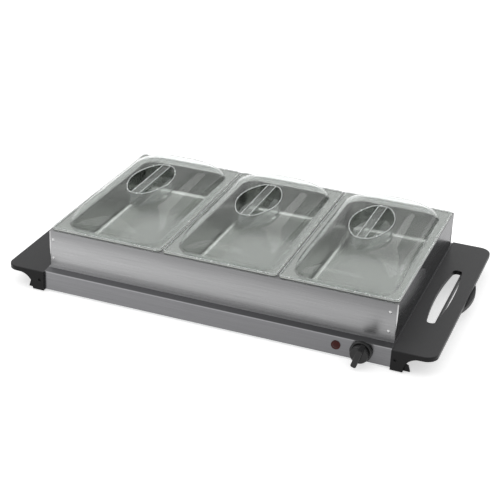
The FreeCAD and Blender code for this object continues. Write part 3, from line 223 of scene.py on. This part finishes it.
def backdrop_paper():
    paper, tree = new_material("white_backdrop_paper")
    glow = add(tree, "ShaderNodeMath", {0: seen_directly(tree), 1: FLOOR_LIFT}, operation="MULTIPLY")
    finish_with(tree, Base_Color=colour("#ECECEC"), Roughness=0.9, Specular_IOR_Level=0.0,
                Emission_Color=colour("#FFFFFF"), Emission_Strength=glow)
    return paper


floor_mesh = bpy.data.meshes.new("studio_floor")
corners = [(x * FLOOR_HALF, y * FLOOR_HALF, 0) for x, y in ((-1, -1), (1, -1), (1, 1), (-1, 1))]
floor_mesh.from_pydata(corners, [], [(0, 1, 2, 3)])
floor_mesh.materials.append(backdrop_paper())
floor = bpy.data.objects.new("studio_floor", floor_mesh)
floor.location.z = -FLOOR_GAP
bpy.context.scene.collection.objects.link(floor)
print("floor", 2 * FLOOR_HALF, "m wide")

# %% [markdown]
# ## The studio's light
#
# The picture is shot in a bright tent: light comes from everywhere, and two large softboxes add a little
# more from the front left and from behind. The world is nearly white where it is seen and dimmer where it
# lights the object, so that the steel keeps its tones.

# %% World and lamps
AMBIENT, SHOWN = 0.66, 0.97
LAMP_TARGET = Vector((0, 0, 0.05))


def make_world():
    world = bpy.data.worlds.new("white_tent")
    world.use_nodes = True
    bpy.context.scene.world = world
    tree = world.node_tree
    tree.nodes.clear()
    strength = add(tree, "ShaderNodeMapRange", {"Value": seen_directly(tree), "To Min": AMBIENT,
                                                "To Max": SHOWN})
    sky = add(tree, "ShaderNodeBackground", {"Color": colour("#FFFFFF"), "Strength": strength})
    add(tree, "ShaderNodeOutputWorld", {"Surface": sky})


def softbox(name, place, width, height, watts):
    """A rectangular lamp, in metres, that looks at the object."""
    data = bpy.data.lights.new(name, "AREA")
    data.shape = "RECTANGLE"
    data.size, data.size_y, data.energy = width, height, watts
    lamp = bpy.data.objects.new(name, data)
    lamp.location = place
    lamp.rotation_euler = (LAMP_TARGET - Vector(place)).to_track_quat("-Z", "Y").to_euler()
    bpy.context.scene.collection.objects.link(lamp)


make_world()
softbox("key_softbox", place=(-1.5, -1.0, 2.2), width=2.4, height=2.4, watts=16)
softbox("rear_softbox", place=(1.0, 2.0, 2.0), width=2.4, height=1.6, watts=12)
bpy.context.scene.view_settings.view_transform = "Standard"
print("light ready, ambient", AMBIENT)

# %% [markdown]
# ## Satin stainless steel
#
# The base and the frame are bent from 0.8 mm type 430 stainless sheet with a number 4 brushed finish.
# The belt leaves fine parallel scratches along the sheet, which smear reflections across them and leave
# them almost sharp along them. The real scratches are hundredths of a millimetre wide, far too fine for
# the picture, so they are drawn about a millimetre wide with very little contrast. Thin sheet is never
# quite flat either: a slow ripple of a few tenths of a millimetre bends the reflections.

# %% Brushed finish
SCRATCH_DEPTH = 0.02
RIPPLE_CELL = (140, 140, 60)
ROUGHNESS_SWING = 0.05
QUARTER_TURN = 0.25


def multiplied(tree, first, second):
    """Two tones multiplied, as when one darkens the other."""
    both = {0: 1.0, 6: first, 7: second}
    return add(tree, "ShaderNodeMix", both, data_type="RGBA", blend_type="MULTIPLY")


def brushed_finish(tree, tone, grain_mm, roughness, ripple_mm, streak=0.0, edge_tint="#FFFFFF"):
    """tone is a colour or a node that gives one. streak is how far the scratches smear a reflection."""
    grain = stretched_noise(tree, grain_mm, detail=3.0, roughness=0.7)
    scratches = mottled(tree, grain, colour("#F0F0F0"), colour("#FFFFFF"))
    swing = {"To Min": roughness + ROUGHNESS_SWING, "To Max": roughness - ROUGHNESS_SWING}
    gloss = add(tree, "ShaderNodeMapRange", {"Value": grain, **NOISE_SPAN, **swing})
    ripple = stretched_noise(tree, RIPPLE_CELL, detail=0.0)
    rippled = add(tree, "ShaderNodeBump", {"Height": ripple, "Distance": ripple_mm * MM})
    scratched = add(tree, "ShaderNodeBump", {"Height": grain, "Distance": SCRATCH_DEPTH * MM,
                                             "Normal": rippled})
    finish_with(tree, Base_Color=multiplied(tree, scratches, tone), Metallic=1.0, Roughness=gloss,
                Normal=scratched, Anisotropic=streak, Anisotropic_Rotation=QUARTER_TURN,
                Specular_Tint=colour(edge_tint))


print("scratches", SCRATCH_DEPTH, "mm deep")

# %% [markdown]
# ## The steel of the frame and the base
#
# A brushed panel on a white table mirrors the table at its foot and darker things higher up, so its tone
# changes in soft bands up the sheet, and the whole front gets slowly darker towards the right. Plain white
# surroundings give only part of that. The rest is written into the tone, as is the shadow that the frame
# leaves on the base's sloping shoulder. The end sheets are brushed the other way and have one tone.

# %% Sheets of the frame and the base
PANEL_STOPS = [(0.0, "#B6B6B7"), (0.06, "#B6B6B7"), (0.18, "#ABABAC"), (0.48, "#B1B1B2"), (0.72, "#A6A6A7"),
               (0.88, "#939394"), (1.0, "#909091")]
PANEL_FADE = [(0.0, "#FFFFFF"), (0.45, "#EEEEEE"), (1.0, "#DCDCDC")]
SHOULDER_FOOT = 26
SHOULDER_STOPS = [(0.35, "#878789"), (0.45, "#A4A4A6"), (0.6, "#A4A4A6"), (0.66, "#6E6E70"),
                  (0.97, "#68686A"), (1.0, "#A0A0A2")]
BASE_FADE = [(0.0, "#FFFFFF"), (1.0, "#E4E4E4")]
GRAIN_ALONG_X, GRAIN_ALONG_Y = (90, 1.4, 0.9), (1.4, 90, 0.9)
SHEET_RIPPLE = 0.25
SHEET_STREAK = 0.5


def faded(tree, bands, fade):
    """A sheet's tone: bands up the sheet, darkened slowly along the frame."""
    return multiplied(tree, tone_along(tree, "X", frame_left_end, frame_right_end, fade), bands)


panel_steel, tree = new_material("stainless_430_brushed_along_x")
panel_bands = tone_along(tree, "Z", frame_foot, frame_top, PANEL_STOPS, "B_SPLINE")
brushed_finish(tree, faded(tree, panel_bands, PANEL_FADE), GRAIN_ALONG_X, 0.30, SHEET_RIPPLE, SHEET_STREAK)

base_steel, tree = new_material("stainless_430_base_brushed_along_x")
shoulder_bands = tone_along(tree, "Z", SHOULDER_FOOT, frame_foot, SHOULDER_STOPS)
brushed_finish(tree, faded(tree, shoulder_bands, BASE_FADE), GRAIN_ALONG_X, 0.32, SHEET_RIPPLE, SHEET_STREAK)

side_steel, tree = new_material("stainless_430_brushed_along_y")
brushed_finish(tree, colour("#98989A"), GRAIN_ALONG_Y, 0.22, SHEET_RIPPLE, SHEET_STREAK, "#CCCCCC")
print("made", panel_steel.name, side_steel.name, base_steel.name)

# %% [markdown]
# ## Bright stainless steel for the pans
#
# The pans are deep-drawn from 304 sheet with a bright annealed finish. It is close to a mirror, but the
# drawing leaves the surface a little wavy and the die leaves long soft marks down the walls. Rivet heads are
# rubbed brighter still, and the outside of sharp bends takes the same lighter tone as a painted highlight, so
# they share the finish.

# %% Drawn pan material
DIE_MARK_CELL, WAVE_CELL = (5, 5, 70), (45, 45, 45)
WAVE_DEPTH = 0.12
DIE_MARK_TONE = 0.93
PAN_GLOSS = {"To Min": 0.27, "To Max": 0.17}


def drawn_steel(name, tone):
    made, tree = new_material(name)
    marks = stretched_noise(tree, DIE_MARK_CELL, detail=3.0)
    waves = stretched_noise(tree, WAVE_CELL, detail=1.0)
    light = colour(tone)
    finish_with(tree, Metallic=1.0, Base_Color=mottled(tree, marks, shaded(light, DIE_MARK_TONE), light),
                Roughness=add(tree, "ShaderNodeMapRange", {"Value": marks, **NOISE_SPAN, **PAN_GLOSS}),
                Normal=add(tree, "ShaderNodeBump", {"Height": waves, "Distance": WAVE_DEPTH * MM}))
    return made


pan_steel = drawn_steel("stainless_304_bright_drawn", "#A9ABA8")
# The lighter tone is real polish on the rivets and a painted highlight where the corner bends use it.
rivet_polish_and_bend_highlight_steel = drawn_steel("stainless_rivet_polished_and_painted_bend_highlight", "#C8C8C8")
print("made", pan_steel.name, rivet_polish_and_bend_highlight_steel.name)

# %% [markdown]
# ## Clear polycarbonate lids
#
# The lids are moulded in clear polycarbonate. A wall that thin hardly shifts what lies behind it, so the
# shader's body bends light very little and a clear coat with the plastic's own gloss carries the
# reflections. Rims and corners are rounded and read as fine white lines. They get a milkier finish of their
# own, which is a painted highlight on real rounded edges. Polycarbonate's index of refraction is 1.58.
# The coat is close to it, and the two bodies were lowered until they matched the photograph.

# %% Clear lid materials
FLOW_CELL, FLOW_DEPTH = (38, 60, 30), 0.05
CLOUD_CELL = (6, 6, 6)
CLOUD_GLOSS = {"To Min": 0.12, "To Max": 0.3}

clear_lid, tree = new_material("polycarbonate_clear_moulded")
flow = stretched_noise(tree, FLOW_CELL, detail=1.0)
finish_with(tree, Base_Color=colour("#F7F9F8"), Roughness=0.0, IOR=1.02, Transmission_Weight=1.0,
            Coat_Weight=0.45, Coat_Roughness=0.04, Coat_IOR=1.5,
            Normal=add(tree, "ShaderNodeBump", {"Height": flow, "Distance": FLOW_DEPTH * MM}))

lid_edge_painted_highlight, tree = new_material("polycarbonate_rounded_edge_painted_highlight")
cloud = stretched_noise(tree, CLOUD_CELL, detail=1.0)
# Painted highlight: a white body that lets only part of the light through, so the beads show as white lines.
finish_with(tree, Base_Color=colour("#FAFCFB"), IOR=1.3, Transmission_Weight=0.7,
            Roughness=add(tree, "ShaderNodeMapRange", {"Value": cloud, **NOISE_SPAN, **CLOUD_GLOSS}))
print("made", clear_lid.name, lid_edge_painted_highlight.name)

# %% [markdown]
# ## Black mouldings
#
# The handles are glass-filled polypropylene from a spark-eroded mould: a fine even texture that turns the
# white studio into a dull grey sheen. Their tops look greyer than the shader alone makes them, so faces that
# look up take a lighter tone: a painted sheen. The knob is smoother phenolic, so it keeps sharper glints, and
# the feet and
# the cord bush are rubber.

# %% Black plastic and rubber
PLASTIC_IOR = 1.49
PATCH_CELL = (60, 60, 60)
PATCH_TONE = 1.25
TOP_FACES = {"From Min": 0.2, "From Max": 0.95}


def moulded(name, tone, cell_mm, depth_mm, roughness, specular=0.5, painted_top_sheen=None):
    """A grain cell_mm across and depth_mm deep, over slow patches. The last argument is a lighter tone
    painted on faces that look up, as a sheen.
    """
    made, tree = new_material(name)
    grain = stretched_noise(tree, (cell_mm,) * 3, detail=2.0)
    dark = colour(tone)
    skin = mottled(tree, stretched_noise(tree, PATCH_CELL, detail=2.0), dark, shaded(dark, PATCH_TONE))
    # Painted sheen: faces that look up blend towards a lighter tone.
    if painted_top_sheen:
        normal = add(tree, "ShaderNodeNewGeometry").outputs["Normal"]
        upward = add(tree, "ShaderNodeSeparateXYZ", {"Vector": normal}).outputs["Z"]
        share = add(tree, "ShaderNodeMapRange", {"Value": upward, **TOP_FACES})
        skin = add(tree, "ShaderNodeMix", {0: share, 6: skin, 7: colour(painted_top_sheen)}, data_type="RGBA")
    swing = {"To Min": roughness - ROUGHNESS_SWING, "To Max": roughness + ROUGHNESS_SWING}
    gloss = add(tree, "ShaderNodeMapRange", {"Value": grain, **NOISE_SPAN, **swing})
    finish_with(tree, Base_Color=skin, IOR=PLASTIC_IOR, Specular_IOR_Level=specular, Roughness=gloss,
                Normal=add(tree, "ShaderNodeBump", {"Height": grain, "Distance": depth_mm * MM}))
    return made


handle_plastic = moulded("polypropylene_spark_textured_painted_top_sheen", "#0B0B0C", 1.1, 0.02, 0.40, 0.22, "#2D2D2E")
knob_plastic = moulded("phenolic_moulded_black", "#0A0A0B", 2.0, 0.004, 0.12, 0.45)
rubber = moulded("rubber_moulded_black", "#1B1B1B", 1.5, 0.05, 0.7, 0.3)
print("made", handle_plastic.name, knob_plastic.name, rubber.name)

# %% [markdown]
# ## The pilot lamp's lens
#
# A neon lamp sits behind a translucent red polycarbonate dome. Unlit it looks dark red-brown and slightly
# cloudy, because almost no light comes back out of it. So the colour is dark, and it wanders a little
# between two tones. The index of refraction is below polycarbonate's 1.58, because the dome shines less
# than that in the photograph.

# %% Red lens material
LENS_CELL, LENS_DEPTH = (2.5, 2.5, 2.5), 0.04

red_lens, tree = new_material("polycarbonate_red_translucent")
grain = stretched_noise(tree, LENS_CELL, detail=1.0)
finish_with(tree, Roughness=0.35, IOR=1.3,
            Base_Color=mottled(tree, grain, colour("#2E0905"), colour("#480F08")),
            Normal=add(tree, "ShaderNodeBump", {"Height": grain, "Distance": LENS_DEPTH * MM}))
print("made", red_lens.name)

# %% [markdown]
# ## Zinc inside and underneath
#
# The bottom cover and the clamp plates are galvanised sheet, with the crystal pattern that hot-dip zinc
# leaves. Cells of a Voronoi texture make the crystals: each cell has its own tone and gloss. Screws and nuts
# are zinc plated, with crystals so small that they only break up the shine.

# %% Zinc finishes
DARK_CRYSTAL = 0.72
CRYSTAL_GLOSS = {"To Min": 0.32, "To Max": 0.48}


def crystal_zinc(name, tone, crystal_mm):
    made, tree = new_material(name)
    cells = add(tree, "ShaderNodeTexVoronoi", {"Vector": add(tree, "ShaderNodeTexCoord"),
                                               "Scale": 1 / (crystal_mm * MM)})
    facet = add(tree, "ShaderNodeSeparateColor", {"Color": cells.outputs["Color"]})
    light = colour(tone)
    finish_with(tree, Metallic=1.0,
                Base_Color=add(tree, "ShaderNodeMix", {0: facet, 6: shaded(light, DARK_CRYSTAL), 7: light},
                               data_type="RGBA"),
                Roughness=add(tree, "ShaderNodeMapRange", {"Value": facet, **CRYSTAL_GLOSS}))
    return made


zinc_sheet = crystal_zinc("galvanised_sheet", "#B9BCBE", 9)
zinc_plate = crystal_zinc("zinc_plated_fastener", "#C4C6C8", 1.2)
print("made", zinc_sheet.name, zinc_plate.name)

# %% [markdown]
# ## Terminals, heaters and insulation
#
# Terminals are tinned brass, the thermal fuse is an aluminium case, and the heaters are layers of mica,
# which is flaky and golden, with a flat resistance ribbon between them. A glass-wool blanket lies below.
# The thermostat and the lamp holder are brown phenolic, the terminal block is nylon and the wires have
# silicone sleeves. The metals are rolled strip, so the brushed finish serves them, and the rest is moulded
# or pressed, so the moulded one does.

# %% Inner finishes
STRIP_RIPPLE = 0.02

brass, tree = new_material("brass_tinned")
brushed_finish(tree, colour("#C9B27A"), (6, 1, 1), 0.35, STRIP_RIPPLE)
nichrome, tree = new_material("nichrome_ribbon")
brushed_finish(tree, colour("#8E8680"), (30, 1, 1), 0.4, STRIP_RIPPLE)
fuse_metal, tree = new_material("aluminium_fuse_case")
brushed_finish(tree, colour("#C8C8C6"), (6, 1, 1), 0.3, STRIP_RIPPLE)
mica = moulded("mica_pressed_sheet", "#9A8560", 6, 0.05, 0.35)
glass_wool = moulded("glass_wool_blanket", "#E1DDCB", 2.5, 0.6, 0.95, 0.1)
brown_phenolic = moulded("phenolic_moulded_brown", "#3A2A20", 1.5, 0.03, 0.4)
white_nylon = moulded("nylon_moulded_white", "#DAD7CD", 1.5, 0.03, 0.4)
silicone = moulded("silicone_wire_sleeve", "#CFCAC0", 2.0, 0.04, 0.5)
print("made", len(bpy.data.materials), "materials in all")

# %% [markdown]
# ## Finishes on the CAD parts
#
# Every CAD part now takes one finish. Parts that stand alone are listed by name, parts that come in threes
# or more by the start of their names, and whatever is left is a zinc-plated fastener.

# %% Give every CAD part its finish
BY_NAME = {
    "base_shell": base_steel, "frame_front": panel_steel, "frame_rear": panel_steel, "frame_left": side_steel,
    "frame_right": side_steel, "cross_bar_left": side_steel, "cross_bar_right": side_steel,
    "frame_rivets": rivet_polish_and_bend_highlight_steel, "left_handle": handle_plastic, "right_handle": handle_plastic,
    "control_knob": knob_plastic, "indicator_lens": red_lens, "cord_bush": rubber, "foot_pads": rubber,
    "bottom_cover": zinc_sheet, "insulation_blanket": glass_wool, "thermal_fuse": fuse_metal,
    "thermostat_body": brown_phenolic, "indicator_holder": brown_phenolic, "terminal_block": white_nylon,
    "thermostat_tabs": brass, "earth_tag": brass,
}
BY_START = {"pan_": pan_steel, "lid_": clear_lid, "heater_mica": mica, "heater_backing": mica,
            "heater_ribbon": nichrome, "clamp_plate": zinc_sheet, "wire_": silicone}


def finish_of(name):
    by_start = (finish for start, finish in BY_START.items() if name.startswith(start))
    return BY_NAME.get(name) or next(by_start, zinc_plate)


for name, node in nodes.items():
    node.data.materials.clear()
    node.data.materials.append(finish_of(name))
print("finished", len(nodes), "CAD parts")

# %% [markdown]
# ## Rounded edges on the lids
#
# The CAD lids have the right shape and keep their place. What is too fine for CAD is the rounded bead that
# the mould leaves along the rim, round the lip of the grip well and along the top of the fin. These beads
# gather light and draw the thin white lines by which the eye reads a clear lid: their rounded form is real,
# and their milky finish is a painted highlight. Each one follows a closed
# path of straight runs and arcs, worked out for one quarter and mirrored, with points close together in the
# arcs.

# %% Closed paths
RUN_STEPS, ARC_STEPS = 14, 22


def mirrored(quarter):
    """Mirror a quarter, from +x round to +y, into a closed loop."""
    top = quarter + [(-x, y) for x, y in reversed(quarter[:-1])]
    return top + [(x, -y) for x, y in reversed(top[1:-1])]


def arc(centre_x, centre_y, radius, start, end, steps):
    """Points of an arc, with its first and its last one."""
    angles = [start + (end - start) * n / steps for n in range(steps + 1)]
    return [(centre_x + radius * math.cos(angle), centre_y + radius * math.sin(angle)) for angle in angles]


def rounded_loop(half_x, half_y, radius):
    quarter = [(half_x, (half_y - radius) * n / RUN_STEPS) for n in range(RUN_STEPS)]
    quarter += arc(half_x - radius, half_y - radius, radius, 0, math.pi / 2, ARC_STEPS)
    quarter += [((half_x - radius) * (1 - n / RUN_STEPS), half_y) for n in range(1, RUN_STEPS + 1)]
    return mirrored(quarter)


def oval_loop(half_x, half_y, end_radius):
    """Two long side arcs that run tangent into two small end arcs."""
    reach = half_y - end_radius
    side = (half_x ** 2 + reach ** 2 - end_radius ** 2) / (2 * (half_x - end_radius))
    turn = math.atan2(reach, side - half_x)
    quarter = arc(half_x - side, 0, side, 0, turn, RUN_STEPS)[:-1]
    quarter += arc(0, reach, end_radius, turn, math.pi / 2, ARC_STEPS + RUN_STEPS)
    return mirrored(quarter)


print("an oval has", len(oval_loop(3, 5, 2)), "points")

# %% [markdown]
# ## Sweeping a bead
#
# A bead is a round tube along such a path. At each point a ring stands square to the path, and the rings
# are joined by faces. A curve with a bevel would do it too, but rings in mesh code keep the bead exactly
# level, and three beads fit in one mesh.

# %% Sweep a bead
BEAD_SIDES = 8


def join_rings(bm, rings):
    """Smooth faces between each ring and the next."""
    for low, high in zip(rings, rings[1:]):
        for n in range(len(low)):
            after = (n + 1) % len(low)
            bm.faces.new((low[n], low[after], high[after], high[n])).smooth = True


def sweep_bead(bm, loop, level, middle_x, radius):
    """A round bead along a closed level loop round the lid's middle, in millimetres."""
    rings = []
    for n, here in enumerate(loop):
        before, after = loop[n - 1], loop[(n + 1) % len(loop)]
        run = Vector((after[0] - before[0], after[1] - before[1], 0)).normalized()
        outward = Vector((run.y, -run.x, 0))
        core = Vector((here[0] + middle_x, here[1] + middle_y, level))
        ring = []
        for k in range(BEAD_SIDES):
            angle = 2 * math.pi * k / BEAD_SIDES
            offset = outward * math.cos(angle) + Vector((0, 0, math.sin(angle)))
            ring.append(bm.verts.new((core + offset * radius) * MM))
        rings.append(ring)
    join_rings(bm, rings + rings[:1])


print("a bead has", BEAD_SIDES, "sides")

# %% [markdown]
# ## Beads on each lid
#
# The rim's bead follows the lid's own outline, a little inside its edge. The lip and the fin have sizes of
# their own. Each set of beads rides on its lid, so it lifts off with it.

# %% Lid beads
RIM_INSET, RIM_CORNER = 0.3, 5.9
WELL_HALF_X, WELL_HALF_Y, WELL_END = 29.3, 57.3, 17.3
FIN_HALF_X, FIN_HALF_Y, FIN_CORNER = 5.9, 55.6, 2.6
RIM_LEVEL, WELL_LEVEL, FIN_LEVEL = 1.0, -0.7, -0.8
RIM_BEAD, WELL_BEAD, FIN_BEAD = 0.75, 0.75, 0.6


def mesh_piece(bm, name, material):
    """Turn a bmesh into an object in the scene, with one material."""
    mesh = bpy.data.meshes.new(name)
    bm.to_mesh(mesh)
    bm.free()
    mesh.materials.append(material)
    piece = bpy.data.objects.new(name, mesh)
    bpy.context.scene.collection.objects.link(piece)
    return piece


def lid_beads(side):
    """Three beads: the rim's stands over the lid's foot, the well's and the fin's lie under its top."""
    left_end, right_end = span_mm("lid_" + side, 0)
    front_end, rear_end = span_mm("lid_" + side, 1)
    foot, top = span_mm("lid_" + side, 2)
    middle_x = (left_end + right_end) / 2
    half_x, half_y = (right_end - left_end) / 2, (rear_end - front_end) / 2
    rim = rounded_loop(half_x - RIM_INSET, half_y - RIM_INSET, RIM_CORNER)
    bm = bmesh.new()
    sweep_bead(bm, oval_loop(WELL_HALF_X, WELL_HALF_Y, WELL_END), top + WELL_LEVEL, middle_x, WELL_BEAD)
    sweep_bead(bm, rounded_loop(FIN_HALF_X, FIN_HALF_Y, FIN_CORNER), top + FIN_LEVEL, middle_x, FIN_BEAD)
    sweep_bead(bm, rim, foot + RIM_LEVEL, middle_x, RIM_BEAD)
    bmesh.ops.recalc_face_normals(bm, faces=bm.faces)
    return mesh_piece(bm, "lid_beads_" + side, lid_edge_painted_highlight)


for side in ("left", "middle", "right"):
    beads = lid_beads(side)
    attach(beads, side + "_lid")
    print("beads on the lid:", beads.name)

# %% [markdown]
# ## Folded sheet edges
#
# A folded steel sheet has no sharp edges: the outside of each bend is rounded by about the sheet's own
# thickness, and that small radius is what catches the light. A bevel does it for the shell and the frame
# without touching the CAD mesh.

# %% Rounded folds
FOLD_RADIUS = 0.7 * MM
FOLD_STEPS = 3
SHARP_ANGLE = math.radians(40)

for name in ("base_shell", "frame_front", "frame_rear", "frame_left", "frame_right"):
    fold = nodes[name].modifiers.new("fold_radius", "BEVEL")
    fold.width = FOLD_RADIUS
    fold.segments = FOLD_STEPS
    fold.limit_method = "ANGLE"
    fold.angle_limit = SHARP_ANGLE
    print("rounded the folds of", name)

# %% [markdown]
# ## Corner bends
#
# At the frame's four corners the front sheet wraps round the side sheet, and the outside of that bend shows
# as one bright upright line. It is an upright rod with eased ends, set so deep into the corner that it
# stands half a millimetre proud. Its rounded form is real, and the lighter rivet tone on it is a painted
# highlight.
# All four are one mesh, because they are one kind of detail on one body.

# %% Corner bends
SHEET = 0.8
BEND_RADIUS, BEND_SIDES = 1.0, 16
BEND_SINK = 0.5
BEND_FOOT, BEND_TOP = 1.1, 0.6
EASE_HEIGHT, EASE_SHARE = 0.5, 0.35


def bend_ring(bm, x, y, level, share):
    """A level ring of points, with a share of the bend's radius."""
    return [bm.verts.new(Vector((*point, level)) * MM)
            for point in arc(x, y, BEND_RADIUS * share, 0, 2 * math.pi, BEND_SIDES)[:-1]]


def corner_bends():
    """Four upright bends with eased ends, in one mesh."""
    side_front, side_rear = span_mm("frame_left", 1)
    corner_x = (frame_right_end - frame_left_end) / 2 - BEND_SINK
    corner_y = (side_rear - side_front) / 2 + SHEET - BEND_SINK
    low, high = frame_foot + BEND_FOOT, frame_top - BEND_TOP
    shares = [(low, EASE_SHARE), (low + EASE_HEIGHT, 1.0), (high - EASE_HEIGHT, 1.0), (high, EASE_SHARE)]
    bm = bmesh.new()
    for side_x in (-1, 1):
        for side_y in (-1, 1):
            rings = [bend_ring(bm, side_x * corner_x, side_y * corner_y + middle_y, level, share)
                     for level, share in shares]
            join_rings(bm, rings)
            bm.faces.new(rings[0][::-1])
            bm.faces.new(rings[-1])
    # The bends take the lighter rivet tone, which paints their bright line as a highlight.
    return mesh_piece(bm, "frame_corner_bends", rivet_polish_and_bend_highlight_steel)


bends = corner_bends()
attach(bends, "pan_frame")
print("added", bends.name)
